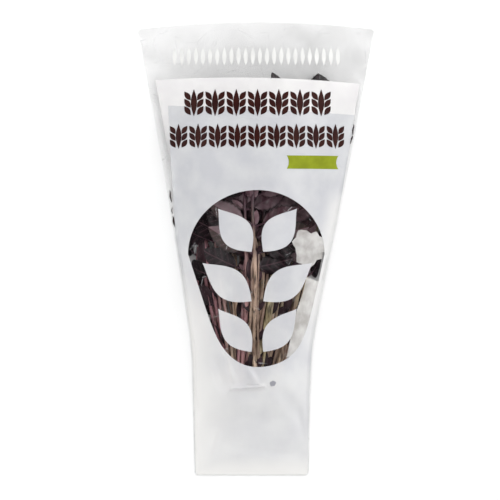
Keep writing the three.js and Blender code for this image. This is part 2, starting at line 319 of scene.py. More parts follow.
def laid_over(tree, colour, layers):
    """A colour with others laid over it, each by its own share."""
    for share, other in layers:
        inputs = {"Factor": share, 6: colour, 7: linear(other)}
        colour = add(tree, "ShaderNodeMix", inputs, output=2, data_type="RGBA")
    return colour


def mottled(tree, where, size, low, high, stops=(0.35, 0.65), detail=3):
    """Colour that drifts between two tones over patches of a size in millimetres."""
    inputs = {"Vector": where, "Scale": 1 / (size * MM), "Detail": detail, "Roughness": 0.5}
    ramp = add(tree, RAMP, add(tree, NOISE, inputs))
    set_stops(ramp, list(zip(stops, (low, high))))
    return ramp


# Cast polypropylene, 40 microns: clear, with small dents from handling. Where it is bare it has a
# soft grey haze, which the share stored on it thins as painted light, and thin white lines round
# facets that are painted glints. Ink turns to its other tone by that share: painted light on the
# panel, painted shade on the edge print.
DENT_SPACING = 9
DENT_DEPTH = 0.6
FACET = 24  # painted glint lines run round facets of this size
GLINT_WIDTH = 0.022  # as a share of a facet
GLINT_HEIGHTS = (0.5, 0.62)  # and they show only where the dents stand this high
GLINT_WHITE = "#F8F8FA"
FILM_IOR = 1.49


def film_material(name, low, high, alpha, roughness, dent, glint=0, tone=None, patch=18):
    material, tree, where = start_material(name)
    inputs = {"Scale": 1 / (DENT_SPACING * MM), "Detail": 4, "Roughness": 0.45, "Distortion": 0.6}
    crumple = add(tree, NOISE, {"Vector": where, **inputs})
    dents = add(tree, BUMP, {"Strength": dent, "Distance": DENT_DEPTH * MM, "Height": crumple})
    share = add(tree, OWN, output="Fac", attribute_name="share")
    layers = [(share, tone)] if tone else []
    # Painted glints: thin white lines round the facets, where the dents stand high, whiten the film
    # and raise its alpha.
    if glint:
        facets = {"Vector": where, "Scale": 1 / (FACET * MM)}
        cloud = add(tree, NOISE, {**facets, "Detail": 2})
        edge = add(tree, CELLS, facets, feature="DISTANCE_TO_EDGE")
        near = {"Value": edge, "From Max": GLINT_WIDTH, "To Min": 1.0, "To Max": 0.0}
        old = {"Value": crumple, "From Min": GLINT_HEIGHTS[0], "From Max": GLINT_HEIGHTS[1]}
        glint_lines = add(tree, TIMES, add(tree, RANGE, near), add(tree, RANGE, old))
        layers.append((glint_lines, GLINT_WHITE))
        haze = add(tree, TIMES, add(tree, TIMES, cloud, 2 * alpha), add(tree, LESS, 1.0, share))
        alpha = add(tree, SUM, haze, add(tree, TIMES, glint_lines, glint))
    colour = mottled(tree, where, patch, low, high, detail=2 if glint else 4)
    surface = {"Base Color": laid_over(tree, colour, layers), "Roughness": roughness}
    end_material(tree, {**surface, "IOR": FILM_IOR, "Alpha": alpha, "Normal": dents})
    return material


clear_film = film_material(
    "clear cast polypropylene film", "#848484", "#C4C4C4",
    alpha=0.055, roughness=0.14, dent=0.5, glint=0.05, patch=26,
)
back_ink = film_material(
    "white ink inside polypropylene film", "#E6E5E3", "#F4F4F4",
    alpha=0.86, roughness=0.3, dent=0.35,
)


def back_top(x, y):
    return FILM


outline = film_outline()
panel = panel_outline()
second = second_outline()
back_plan, back_triangles = cut_plan([outline, panel, second])
above, below = [], []
for triangle in back_triangles:
    x, y = middle_of(back_plan, triangle)
    (below if inside(panel, x, y) and inside(second, x, y) else above).append(triangle)
back_clear = lay_film("back_film_clear", back_plan, above, back_top, FILM, clear_film, thin)
back_print = lay_film("back_film_print", back_plan, below, back_top, FILM, back_ink)
for piece in (back_clear, back_print):
    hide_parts("sleeve")
    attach(piece, "root")

# ---- Sprigs ----
# Eleven cut sprigs of purple basil piled on the back film, cut ends towards the foot: square
# stems that run from reddish purple to tan, swollen at the nodes, with pairs of soft quilted,
# toothed leaves that lie flat between their neighbours.
SPRIG_COUNT = 11
SEED = 1058
SEED_STEP = 7919
TOUCH_SEED_STEP = 104729
DRAW_STEP = 16807
DRAW_RANGE = 2**31 - 1
FIRST_DRAWS = 5  # left unused
GOLDEN = 0.618034
SHUFFLE = 0.45
BED = 0.9
CUT_Y = -108
CUT_SWAY = 3
BUNDLE_X = -5
BUNDLE_HALF_WIDTH = 22
BUNDLE_ORDER = 0.75
FAN_END_Y = 60
FAN_POWER = 2.8
LANE_REACH = 0.8
BOW = 2.5
BOW_TURNS = 1.2
TIP_Y = 103
TIP_TILT = 10
TIP_SWAY = 7
LEAFY_Y = -4
LEAFY_SWAY = 20
STEM_RADIUS = 1.9
STEM_SWAY = 0.35
STEM_TIP_RADIUS = 0.85
STEM_TAPER = 1.3
STEM_STEPS = 60
STEM_LIFT = 0.15
STEM_ROOM = 0.75
RIDGE_LOW = 5.2
RIDGE_HIGH = 15
RIDGE_MIN = 0.4
RIDGE_POWER = 4
LEAF_PAIRS = 5
LEAF_LENGTH = 38
LEAF_HALF_WIDTH = 9.2
LEAF_SIZE = (0.8, 1.12)
UPPER_SIZE = 0.78
TOP_SIZE = (0.62, 0.75)
TOP_HALF_WIDTH = 5.6
TOP_PETIOLE = 2.5
TOP_OPENING = (0.12, 0.4)
TOP_BEND = 0.004
OPENING_LOW = 1.25
OPENING_HIGH = 0.55
OPENING_SWAY = 0.25
BEND = 0.006
NODE_SWAY = 1.5
PETIOLE = 8
PETIOLE_LOW = 1.2
PETIOLE_HIGH = 0.7
PETIOLE_HALF_WIDTH = 0.8
LEVELS = (0.72, 2.08)
SHEET = 2.85
SHEET_START = (-60, -14)  # from the first leaves: where a sprig's sheet of leaves comes in
SHEET_END = (30, 42)  # from its tip: where it ends
STEM_START = (-16, -5)  # from its cut end: where the ridge over its stem comes in
STEM_END = 25  # and how far past its tip it ends
RIDGE_SPAN = (-95, 20)  # the ridge widens from here to here
RIPPLE = 0.3
RIPPLE_LENGTH = (11, 12)
LEAF_REACH = 36
REACH_MARGIN = 2
REACH_FADE = 10
WALL_LOW = 0.95
WALL_STEP = 0.02
WALL_START = 0.8  # leaves are pressed in from this share of their room on
CUP = 0.12
BLADE = 0.35  # thickness of a blade
BLADE_ROWS = 19
BLADE_COLUMNS = 9
BLADE_FULLNESS = 1.1
BLADE_ROUND = (0.62, 0.85)  # how full a blade is towards its root and its tip: less is fuller
BLADE_PEAK = 0.3676  # the most that this gives, at the widest place
TOOTH = 0.055  # depth of the teeth, as a share of the half-width
TIP_HALF_WIDTH = 0.25
NODE_SWELL = 0.22
NODE_LENGTH = 2.4
NODE_SLIM = 0.93  # share of its radius that a stem has between its nodes
NODE_YOUNG = 0.35  # a node is less woody than the stem by this
WOODY_SPAN = (-30, 45)  # stems turn from woody to young over these heights
BARE_NODES = 4  # nodes below the leaves, whose leaves were stripped
BARE_START = 0.6
PETIOLE_STEPS = 8
PETIOLE_REACH = 0.55  # a petiole runs on as the midrib under this share of its blade
PETIOLE_RADIUS = (0.8, 0.3)
PETIOLE_SINK = (0.35, 4)  # depth under the blade, and the length over which it gets there
SIDE_LEAF = 12  # length of the small leaves in the axils
SIDE_SIZE = (0.5, 1.15)
SIDE_OPENING = (0.1, 0.95)
SIDE_LIFT = (0.6, 0.7)
SIDE_ROOM = 0.86
SIDE_LEAST = 2
BARE_SIZE = 1.45  # at stripped nodes they are longer, more upright and darker
BARE_OPENING = (0.1, 0.7)
BARE_TONE = 0.4
LEFT_LANE = -0.6  # and on the left of stems left of here they are longer and stand off more
LEFT_SIZE = 1.5
LEFT_OPENING = 1.4
SHOOT_RADIUS = (0.7, 1.15)
SHOOT_STEPS = 40
SHOOT_LOW = 9  # a shoot starts up to this far above the cut end
SHOOT_DROP = 4  # and ends between this far below the first leaves
SHOOT_SWAY = 16  # and this much further up
SHOOT_GAP = (0.5, 1.6)
SHOOT_TUCK = (0.6, 0.9)  # its end leans back to the stem by this share, from here on
SHOOT_TAPER = (1.1, 0.8)
SHOOT_WOODY = (0.9, 0.4)  # how woody it is at its start, and how much of that it loses
OUTER_LANE = -0.85
OUTER_SHOOT = (1.5, 9, 0.1)  # radius, reach and phase of the one that stands off at the left
TIP_LIMITS = ((44, 56, 136), (12, 15, 137))  # between these places a top blade reaches this far up
TIP_LIMIT = 128  # and elsewhere blades stay below this
WAVE = 0.22  # rise and fall of a blade's edge
WAVES = 2.5  # how many there are along a blade
WAVE_SHIFT = 1.2  # and how far those of its two edges are out of step, in radians each way
LEFT_TONE = 0.45  # share of their tone that blades at the far left keep
LEFT_SPAN = (-44, -24)  # from here to here they come to their full tone
PALE_X = (4, 14, 44, 56)  # the pale patch starts and ends softly between these places
PALE_Y = (2, 16, 52, 64)
PALE_TONE = 0.9
PALE_SHARE = 0.75


def make_random(seed):
    state = [seed]

    def draw():
        state[0] = (state[0] * DRAW_STEP) % DRAW_RANGE
        return state[0] / DRAW_RANGE

    for _ in range(FIRST_DRAWS):
        draw()
    return draw


def make_lanes():
    draw = make_random(SEED)
    lanes = [2 * ((0.5 + i * GOLDEN) % 1) - 1 for i in range(SPRIG_COUNT)]
    order = [(abs(lane) + SHUFFLE * draw(), lane) for lane in lanes]
    return [lane for _, lane in sorted(order, key=lambda pair: -pair[0])]


def make_sprig(index, lane):
    draw = make_random(SEED + SEED_STEP * (index + 1))

    def sway(size):
        return size * (2 * draw() - 1)

    sprig = {"index": index, "lane": lane, "wall": WALL_LOW - WALL_STEP * index, "leaves": []}
    sprig["cut_x"] = BUNDLE_X + BUNDLE_HALF_WIDTH * (BUNDLE_ORDER * lane + sway(1 - BUNDLE_ORDER))
    sprig["cut_y"] = CUT_Y + sway(CUT_SWAY)
    sprig["tip_y"] = TIP_Y + TIP_TILT * lane + sway(TIP_SWAY)
    sprig["leaf_y"] = LEAFY_Y + sway(LEAFY_SWAY)
    sprig["radius"] = STEM_RADIUS + sway(STEM_SWAY)
    sprig["bow_phase"] = sway(math.pi)
    sprig["ripple"] = (sway(math.pi), sway(math.pi))
    for pair in range(LEAF_PAIRS):
        t = pair / LEAF_PAIRS
        for side in (-1, 1):
            opening = mix(OPENING_LOW, OPENING_HIGH, t) + sway(OPENING_SWAY)
            petiole = PETIOLE * mix(PETIOLE_LOW, PETIOLE_HIGH, t)
            size = mix(1, UPPER_SIZE, t) * mix(*LEAF_SIZE, draw())
            length = min(LEAF_LENGTH * size, LEAF_REACH / math.sin(opening) - petiole)
            sprig["leaves"].append(
                {
                    "y": mix(sprig["leaf_y"], sprig["tip_y"], t) + sway(NODE_SWAY),
                    "angle": side * opening,
                    "bend": -side * BEND * draw(),
                    "petiole": petiole,
                    "length": length,
                    "half": LEAF_HALF_WIDTH * mix(size, length / LEAF_LENGTH, 0.5),
                    "level": LEVELS[pair % 2],
                }
            )
    for side in (-1, 1):
        sprig["leaves"].append(
            {
                "y": sprig["tip_y"] - TOP_PETIOLE / 2,
                "angle": side * mix(*TOP_OPENING, draw()),
                "bend": side * TOP_BEND,
                "petiole": TOP_PETIOLE,
                "length": LEAF_LENGTH * mix(*TOP_SIZE, draw()),
                "half": TOP_HALF_WIDTH,
                "level": LEVELS[1 if side < 0 else 0],
            }
        )
    return sprig


sprigs = [make_sprig(index, lane) for index, lane in enumerate(make_lanes())]


def stem_x(sprig, y):
    t = clamp((y - sprig["cut_y"]) / (FAN_END_Y - sprig["cut_y"]), 0, 1)
    lane = middle_x(y) + sprig["lane"] * LANE_REACH * half_width(y)
    bow = BOW * t * math.sin(2 * math.pi * BOW_TURNS * t + sprig["bow_phase"])
    return mix(sprig["cut_x"], lane, 1 - (1 - t) ** FAN_POWER) + bow


def stem_radius(sprig, y):
    t = clamp((y - sprig["cut_y"]) / (sprig["tip_y"] - sprig["cut_y"]), 0, 1)
    return mix(sprig["radius"], STEM_TIP_RADIUS, t**STEM_TAPER)


def layer(sprig, x, y):
    """Height that one sprig adds to the pile: its leaves, and the ridge over its stem."""
    cut, first, tip = sprig["cut_y"], sprig["leaf_y"], sprig["tip_y"]
    across = abs(x - stem_x(sprig, y))
    leafy = ease(first + SHEET_START[0], first + SHEET_START[1], y)
    leafy *= 1 - ease(tip + SHEET_END[0], tip + SHEET_END[1], y)
    reach = 1 - ease(LEAF_REACH + REACH_MARGIN, LEAF_REACH + REACH_MARGIN + REACH_FADE, across)
    ripple = RIPPLE * math.sin(x / RIPPLE_LENGTH[0] + sprig["ripple"][0])
    ripple *= math.sin(y / RIPPLE_LENGTH[1] + sprig["ripple"][1])
    room = max(2 * stem_radius(sprig, y) + STEM_ROOM - SHEET * leafy, RIDGE_MIN)
    present = ease(cut + STEM_START[0], cut + STEM_START[1], y) * (1 - ease(tip, tip + STEM_END, y))
    ridge = math.exp(-((across / mix(RIDGE_LOW, RIDGE_HIGH, ease(*RIDGE_SPAN, y))) ** RIDGE_POWER))
    return (SHEET + ripple) * leafy * reach + room * present * ridge


def bed(sprig, x, y):
    """Height of the pile of all sprigs below one."""
    return BED + sum(layer(lower, x, y) for lower in sprigs[: sprig["index"]])


def blade_outline(s):
    return s ** BLADE_ROUND[0] * (1 - s) ** BLADE_ROUND[1] / BLADE_PEAK


def press_in(sprig, x, y):
    """Keeps a place inside the sleeve by pressing it softly in from the side."""
    limit = sprig["wall"] * (half_width(y) - WELD_WIDTH)
    start = WALL_START * limit
    out = abs(x - middle_x(y)) - start
    if out <= 0:
        return x
    pressed = start + (limit - start) * (1 - math.exp(-out / (limit - start)))
    return middle_x(y) + math.copysign(pressed, x - middle_x(y))


def leaf_point(sprig, leaf, along, across, half):
    """A place on a leaf in plan, at a distance along it and a share of its half-width across."""
    turn = leaf["angle"] + leaf["bend"] * along
    way = leaf["angle"] + leaf["bend"] * along / 2
    y = leaf["y"] + math.cos(way) * along - across * half * math.sin(turn)
    x = stem_x(sprig, leaf["y"]) + math.sin(way) * along + across * half * math.cos(turn)
    return press_in(sprig, x, y), y


def tone_by_place(tone, x, y):
    """A leaf's tone by its place: darker at the far left, and paler in one patch at the right."""
    patch = ease(*PALE_X[:2], x) * (1 - ease(*PALE_X[2:], x))
    patch *= ease(*PALE_Y[:2], y) * (1 - ease(*PALE_Y[2:], y))
    return mix(tone * mix(LEFT_TONE, 1, ease(*LEFT_SPAN, x)), PALE_TONE, PALE_SHARE * patch)


def net_faces(rows, columns, first=0):
    """The faces of a net of points that are stored row by row."""
    faces = []
    for row in range(rows - 1):
        for a in range(first + row * columns, first + row * columns + columns - 1):
            faces.append([a, a + 1, a + columns + 1, a + columns])
    return faces


def add_blade(sprig, leaf, draw, sheet):
    """One blade as a net of points on the pile, with its own coordinates for veins and colour."""
    tone, phase = draw(), 2 * math.pi * draw()
    tone = tone_by_place(tone, *leaf_point(sprig, leaf, leaf["petiole"] + leaf["length"] / 2, 0, 0))
    sheet["faces"] += net_faces(BLADE_ROWS, BLADE_COLUMNS, len(sheet["vertices"]))
    for row in range(BLADE_ROWS):
        s = row / (BLADE_ROWS - 1)
        tooth = 1 + (TOOTH if row % 2 else -TOOTH)
        root = PETIOLE_HALF_WIDTH * (1 - s) + TIP_HALF_WIDTH * s
        half = max(leaf["half"] * BLADE_FULLNESS * blade_outline(s) * tooth, root)
        for column in range(BLADE_COLUMNS):
            across = 2 * column / (BLADE_COLUMNS - 1) - 1
            x, y = leaf_point(sprig, leaf, leaf["petiole"] + s * leaf["length"], across, half)
            turn = 2 * math.pi * WAVES * s + phase + math.copysign(WAVE_SHIFT, across)
            wave = WAVE * (across * across) * math.sin(turn)
            z = bed(sprig, x, y) + leaf["level"] + CUP * abs(across) + wave
            sheet["vertices"].append((x, y, z))
            sheet["along"].append(s * leaf["length"])
            sheet["across"].append(across * half)
            sheet["share"].append(abs(across))
            sheet["tone"].append(tone)


def start_tree(name, sizes):
    """A Geometry Nodes tree with one geometry in and out, and a named input for each size."""
    tree = bpy.data.node_groups.new(name, "GeometryNodeTree")
    tree.interface.new_socket("Geometry", in_out="INPUT", socket_type="NodeSocketGeometry")
    tree.interface.new_socket("Geometry", in_out="OUTPUT", socket_type="NodeSocketGeometry")
    for size, value in sizes.items():
        kind = "NodeSocketInt" if isinstance(value, int) else "NodeSocketFloat"
        tree.interface.new_socket(size, in_out="INPUT", socket_type=kind)
    return tree, add(tree, "NodeGroupInput").node.outputs


def end_tree(tree, geometry, material):
    real = add(tree, "GeometryNodeRealizeInstances", {"Geometry": geometry})
    dressed = add(tree, "GeometryNodeSetMaterial", {"Geometry": real, "Material": material})
    add(tree, "NodeGroupOutput", {"Geometry": dressed})
    return tree


def grow(piece, tree, sizes, thickness=0):
    """Runs a tree on a piece, gives the result its thickness and keeps it as the plain mesh."""
    modifier = piece.modifiers.new(tree.name, "NODES")
    modifier.node_group = tree
    for item in tree.interface.items_tree:
        if item.in_out == "INPUT" and item.name in sizes:
            modifier[item.identifier] = sizes[item.name]
    if thickness:
        wall = piece.modifiers.new("thickness", "SOLIDIFY")
        wall.thickness = thickness * MM
        wall.offset = 0
    evaluated = piece.evaluated_get(bpy.context.evaluated_depsgraph_get())
    mesh = bpy.data.meshes.new_from_object(evaluated)
    piece.modifiers.clear()
    piece.data = mesh
    mesh.name = piece.name
    mesh.shade_smooth()
    mesh.set_sharp_from_angle(angle=EDGE_TURN)


STORED = "GeometryNodeInputNamedAttribute"
OVER, POWER, SINE, SIZE, SIGN, LEAST, MOST = [
    ("ShaderNodeMath", name)
    for name in ("DIVIDE", "POWER", "SINE", "ABSOLUTE", "SIGN", "MINIMUM", "MAXIMUM")
]


# Quilting: the blade bulges between its side veins and sinks along them and the midrib.
VEIN_SPACING = 5.5
VEIN_SWEEP = 0.75
BULGE_POWER = 6.0  # the bulges fall off towards the edge
BLADE_SIZES = {
    "Vein spacing": VEIN_SPACING * MM,
    "Vein sweep": VEIN_SWEEP,
    "Bulge": 0.42 * MM,
    "Midrib": 1.3 * MM,
}


def blade_tree(material):
    tree, sizes = start_tree("quilted basil blade", BLADE_SIZES)
    along, across, edge = [
        add(tree, STORED, {"Name": name}) for name in ("along", "across", "share")
    ]
    aside = add(tree, SIZE, across)
    swept = add(tree, LESS, along, add(tree, TIMES, aside, sizes["Vein sweep"]))
    turns = add(tree, TIMES, add(tree, OVER, swept, sizes["Vein spacing"]), math.pi)
    between = add(tree, SIZE, add(tree, SINE, turns))
    off_rib = add(tree, LEAST, add(tree, OVER, aside, sizes["Midrib"]), 1.0)
    fall = add(tree, LESS, 1.0, add(tree, POWER, edge, BULGE_POWER))
    height = add(tree, TIMES, add(tree, TIMES, between, off_rib), fall)
    lift = add(tree, "ShaderNodeCombineXYZ", {"Z": add(tree, TIMES, height, sizes["Bulge"])})
    moved = {"Geometry": sizes["Geometry"], "Offset": lift}
    return end_tree(tree, add(tree, "GeometryNodeSetPosition", moved), material)


# Stems and petioles: a square section with rounded corners, drawn along each path at its radius.
STEM_SIZES = {"Half side": 1.0, "Corner": 0.5, "Turn": 0.45}


def stem_tree(material):
    tree, sizes = start_tree("square basil stem", STEM_SIZES)
    path = add(tree, "GeometryNodeMeshToCurve", {"Mesh": sizes["Geometry"]})
    upright = add(tree, "GeometryNodeSetCurveNormal", {"Curve": path}, mode="Z_UP")
    side = add(tree, TIMES, sizes["Half side"], 2.0)
    square = add(tree, "GeometryNodeCurvePrimitiveQuadrilateral", {"Width": side, "Height": side})
    corner = {"Curve": square, "Count": 3, "Radius": sizes["Corner"]}
    rounded = add(tree, "GeometryNodeFilletCurve", corner, mode="POLY")
    turn = add(tree, "ShaderNodeCombineXYZ", {"Z": sizes["Turn"]})
    profile = add(tree, "GeometryNodeTransform", {"Geometry": rounded, "Rotation": turn})
    girth = add(tree, STORED, {"Name": "girth"})
    drawn = {"Curve": upright, "Profile Curve": profile, "Scale": girth, "Fill Caps": True}
    return end_tree(tree, add(tree, "GeometryNodeCurveToMesh", drawn), material)


def start_net(tree, columns, rows):
    """A net of one unit each way, with the place across it and the share along it of a point."""
    sizes = {"Size X": 1.0, "Size Y": 1.0, "Vertices X": columns, "Vertices Y": rows}
    net = add(tree, "GeometryNodeMeshGrid", sizes)
    here = add(tree, "ShaderNodeSeparateXYZ", add(tree, "GeometryNodeInputPosition")).node.outputs
    return net, here["X"], add(tree, SUM, here["Y"], 0.5)


def shape_net(tree, net, spot):
    """The net with each point moved to its spot."""
    spot = add(tree, "ShaderNodeCombineXYZ", spot)
    return add(tree, "GeometryNodeSetPosition", {"Geometry": net, "Position": spot})


# Small leaves in the axils: the same short blade set on points, each turned and sized by its own.
SIDE_SIZES = {"Length": 1.0, "Width": 0.46}
SIDE_ROUND = (0.6, 0.8)
SIDE_FULLNESS = 2.6
SIDE_FOLD = 0.08
SIDE_ARCH = 0.2


def side_leaf_tree(material):
    tree, sizes = start_tree("small axillary leaves", SIDE_SIZES)
    net, aside, share = start_net(tree, 5, 8)
    rest = add(tree, LESS, 1.001, share)
    root, tip = add(tree, POWER, share, SIDE_ROUND[0]), add(tree, POWER, rest, SIDE_ROUND[1])
    width = add(tree, TIMES, add(tree, TIMES, root, tip), SIDE_FULLNESS)
    width = add(tree, TIMES, width, sizes["Width"])
    x = add(tree, TIMES, aside, width)
    y = add(tree, TIMES, share, sizes["Length"])
    fold = add(tree, TIMES, add(tree, SIZE, aside), SIDE_FOLD)
    arch = add(tree, TIMES, add(tree, TIMES, share, rest), SIDE_ARCH)
    blade = shape_net(tree, net, {"X": x, "Y": y, "Z": add(tree, SUM, fold, arch)})
    for name, value in (("along", y), ("across", x)):
        value = add(tree, TIMES, value, SIDE_LEAF * MM)
        store_at = {"Geometry": blade, "Name": name, "Value": value}
        kind = "GeometryNodeStoreNamedAttribute"
        blade = add(tree, kind, store_at, data_type="FLOAT", domain="POINT")
    turn, size = [add(tree, STORED, {"Name": name}) for name in ("turn", "size")]
    turned = add(tree, "ShaderNodeCombineXYZ", {"Z": turn})
    spots = {"Points": sizes["Geometry"], "Instance": blade, "Rotation": turned, "Scale": size}
    return end_tree(tree, add(tree, "GeometryNodeInstanceOnPoints", spots), material)


# Basil leaf: a waxy blade, near black purple, glossy on the bulges, paler along the veins, with
# a grey-pink bloom in patches, painted light that makes one half of a blade paler, and a dark rim
# of painted shade.
LEAF_TONES = (
    (0, "#090406"),
    (0.48, "#170A10"),
    (0.66, "#452A33"),
    (0.85, "#3E3731"),
    (1, "#624B55"),
)
LEAF_BLOOM = "#9A8289"
LEAF_VEIN = "#85636C"
LEAF_RIM_SHADE = "#0E080A"
BLOOM_PATCH = 20
BLOOM_CLOUD, BLOOM_TONE, BLOOM_LIT_HALF = 0.5, 0.35, 0.18  # how much each adds to the bloom; the last is painted light on one half of a blade
BLOOM_RANGE = (0.5, 0.76)  # which grows while their sum does from here to here
BLOOM_MOST = 0.85
BLOOM_TURN = 0.3  # blades of a darker tone than this have the painted light on the other half
VEIN_SHARPNESS = 2.5
VEIN_SHARE = 0.5  # a side vein is this pale beside the midrib
LINE_LEAST = 0.12  # how pale the lines are on the darkest blade
LINE_MORE = 0.45  # and how much more on the palest
RIM_SHADE_START = 0.76
RIM_SHADE_MOST = 0.88
RIB_LINE = 0.7  # the pale line on the midrib
PUCKER = 2.6  # size of the fine cells between the veins
PUCKER_DEPTH = 0.25


def leaf_material():
    material, tree, where = start_material("purple basil leaf, waxy and quilted")
    along, across, edge, tone = [
        add(tree, OWN, output="Fac", attribute_name=name)
        for name in ("along", "across", "share", "tone")
    ]
    aside = add(tree, SIZE, across)
    swept = add(tree, LESS, along, add(tree, TIMES, aside, VEIN_SWEEP))
    turns = add(tree, TIMES, swept, math.pi / (VEIN_SPACING * MM))
    vein = add(tree, LESS, 1.0, add(tree, SIZE, add(tree, SINE, turns)))
    vein = add(tree, POWER, vein, VEIN_SHARPNESS)
    rib = add(tree, LESS, 1.0, add(tree, LEAST, add(tree, OVER, aside, RIB_LINE * MM), 1.0))
    line = add(tree, MOST, add(tree, TIMES, vein, VEIN_SHARE), rib)
    pale = add(tree, SUM, add(tree, TIMES, tone, LINE_MORE), LINE_LEAST)
    line = add(tree, TIMES, line, pale)
    # Painted light: one half of each blade is paler, as if it caught more light.
    half = add(tree, TIMES, add(tree, SIGN, across), add(tree, LESS, tone, BLOOM_TURN))
    cloud = add(tree, NOISE, {"Vector": where, "Scale": 1 / (BLOOM_PATCH * MM), "Detail": 2})
    parts = add(tree, TIMES, tone, BLOOM_TONE), add(tree, TIMES, half, BLOOM_LIT_HALF)
    bloom = add(tree, SUM, add(tree, SUM, *parts), add(tree, TIMES, cloud, BLOOM_CLOUD))
    low, high = BLOOM_RANGE
    bloom = {"Value": bloom, "From Min": low, "From Max": high, "To Max": BLOOM_MOST}
    # Painted shade: each blade darkens towards its edge, for the shade in the gaps between leaves.
    rim_shade = {"Value": edge, "From Min": RIM_SHADE_START, "From Max": 1.0, "To Max": RIM_SHADE_MOST}
    bloom, rim_shade = add(tree, RANGE, bloom), add(tree, RANGE, rim_shade)
    tones = add(tree, RAMP, tone)
    set_stops(tones, LEAF_TONES)
    colour = laid_over(tree, tones, ((bloom, LEAF_BLOOM), (line, LEAF_VEIN), (rim_shade, LEAF_RIM_SHADE)))
    cells = {"Vector": where, "Scale": 1 / (PUCKER * MM)}
    cells = add(tree, CELLS, cells, feature="DISTANCE_TO_EDGE")
    puckers = add(tree, BUMP, {"Strength": 0.3, "Distance": PUCKER_DEPTH * MM, "Height": cells})
    surface = {"Base Color": colour, "Roughness": 0.3, "IOR": 1.45, "Specular IOR Level": 0.22}
    end_material(tree, {**surface, "Normal": puckers})
    return material


# Basil stem: woody square stalk, reddish purple at the left of the bunch, tan and olive elsewhere,
# with dark streaks along it, and young dark purple where it isn't woody yet.
STEM_TONES = (
    (0.05, "#C48C92"),
    (0.28, "#B8928E"),
    (0.45, "#DCC2A8"),
    (0.6, "#AE917F"),
    (0.74, "#E0CFAC"),
    (0.84, "#B8A87C"),
    (0.95, "#D0C2A0"),
)
STEM_SPREAD = 45  # the tones run from this far left to this far right
STEM_YOUNG = "#4A2C38"
STEM_DARK = "#2E1F1A"
STEM_DARK_SHARE = 0.8
STEM_DARK_STOPS = (0.33, 0.52)
STREAK = 1.1  # width of a streak
STREAK_STRETCH = 0.12  # the smaller, the longer it is along the stem
STREAK_DEPTH = 0.2
DRIFT = 16  # the tone drifts along a stem over this length
DRIFT_REACH = 40  # within this distance in all
LOT_REACH = 45  # and each stem's tone is off its place within this one


def stem_material():
    material, tree, where = start_material("basil stem, ribbed and waxy")
    lot, woody = [add(tree, OWN, output="Fac", attribute_name=name) for name in ("lot", "tone")]
    drift = add(tree, NOISE, {"Vector": where, "Scale": 1 / (DRIFT * MM), "Detail": 2})
    drift, lot = [
        add(tree, TIMES, add(tree, LESS, value, 0.5), reach * MM)
        for value, reach in ((drift, DRIFT_REACH), (lot, LOT_REACH))
    ]
    spot = add(tree, "ShaderNodeSeparateXYZ", where, output="X")
    spot = add(tree, SUM, spot, add(tree, SUM, drift, lot))
    share = add(tree, OVER, add(tree, SUM, spot, STEM_SPREAD * MM), 2 * STEM_SPREAD * MM)
    tones = add(tree, RAMP, share)
    set_stops(tones, STEM_TONES)
    stretch = {"Vector": where, "Scale": (1, STREAK_STRETCH, 1)}
    stretched = add(tree, "ShaderNodeMapping", stretch)
    streaks = add(tree, NOISE, {"Vector": stretched, "Scale": 1 / (STREAK * MM), "Detail": 3})
    dark = mottled(tree, stretched, 2 * STREAK, STEM_DARK, "#FFFFFF", STEM_DARK_STOPS)
    colour = {"Factor": woody, 6: linear(STEM_YOUNG), 7: tones}
    colour = add(tree, "ShaderNodeMix", colour, output=2, data_type="RGBA")
    colour = {"Factor": STEM_DARK_SHARE, 6: colour, 7: dark}
    colour = add(tree, "ShaderNodeMix", colour, output=2, data_type="RGBA", blend_type="MULTIPLY")
    ribs = add(tree, BUMP, {"Strength": 0.5, "Distance": STREAK_DEPTH * MM, "Height": streaks})
    end_material(tree, {"Base Color": colour, "Roughness": 0.4, "IOR": 1.45, "Normal": ribs})
    return material


leaf_skin = leaf_material()
stem_skin = stem_material()
blade_rule = blade_tree(leaf_skin)
stem_rule = stem_tree(stem_skin)
side_rule = side_leaf_tree(leaf_skin)


def node_places(sprig):
    """Where the stem swells: at each pair of leaves, and at the stripped nodes below them."""
    leafy = [mix(sprig["leaf_y"], sprig["tip_y"], pair / LEAF_PAIRS) for pair in range(LEAF_PAIRS)]
    gap = (sprig["leaf_y"] - sprig["cut_y"]) / (BARE_NODES + BARE_START)
    return [sprig["leaf_y"] - gap * (i + 1) for i in range(BARE_NODES)] + leafy


def add_path(paths, points):
    first = len(paths["vertices"])
    paths["vertices"] += [place_at for place_at, _, _ in points]
    paths["girth"] += [radius * MM for _, radius, _ in points]
    paths["tone"] += [tone for _, _, tone in points]
    paths["edges"] += [(first + i, first + i + 1) for i in range(len(points) - 1)]


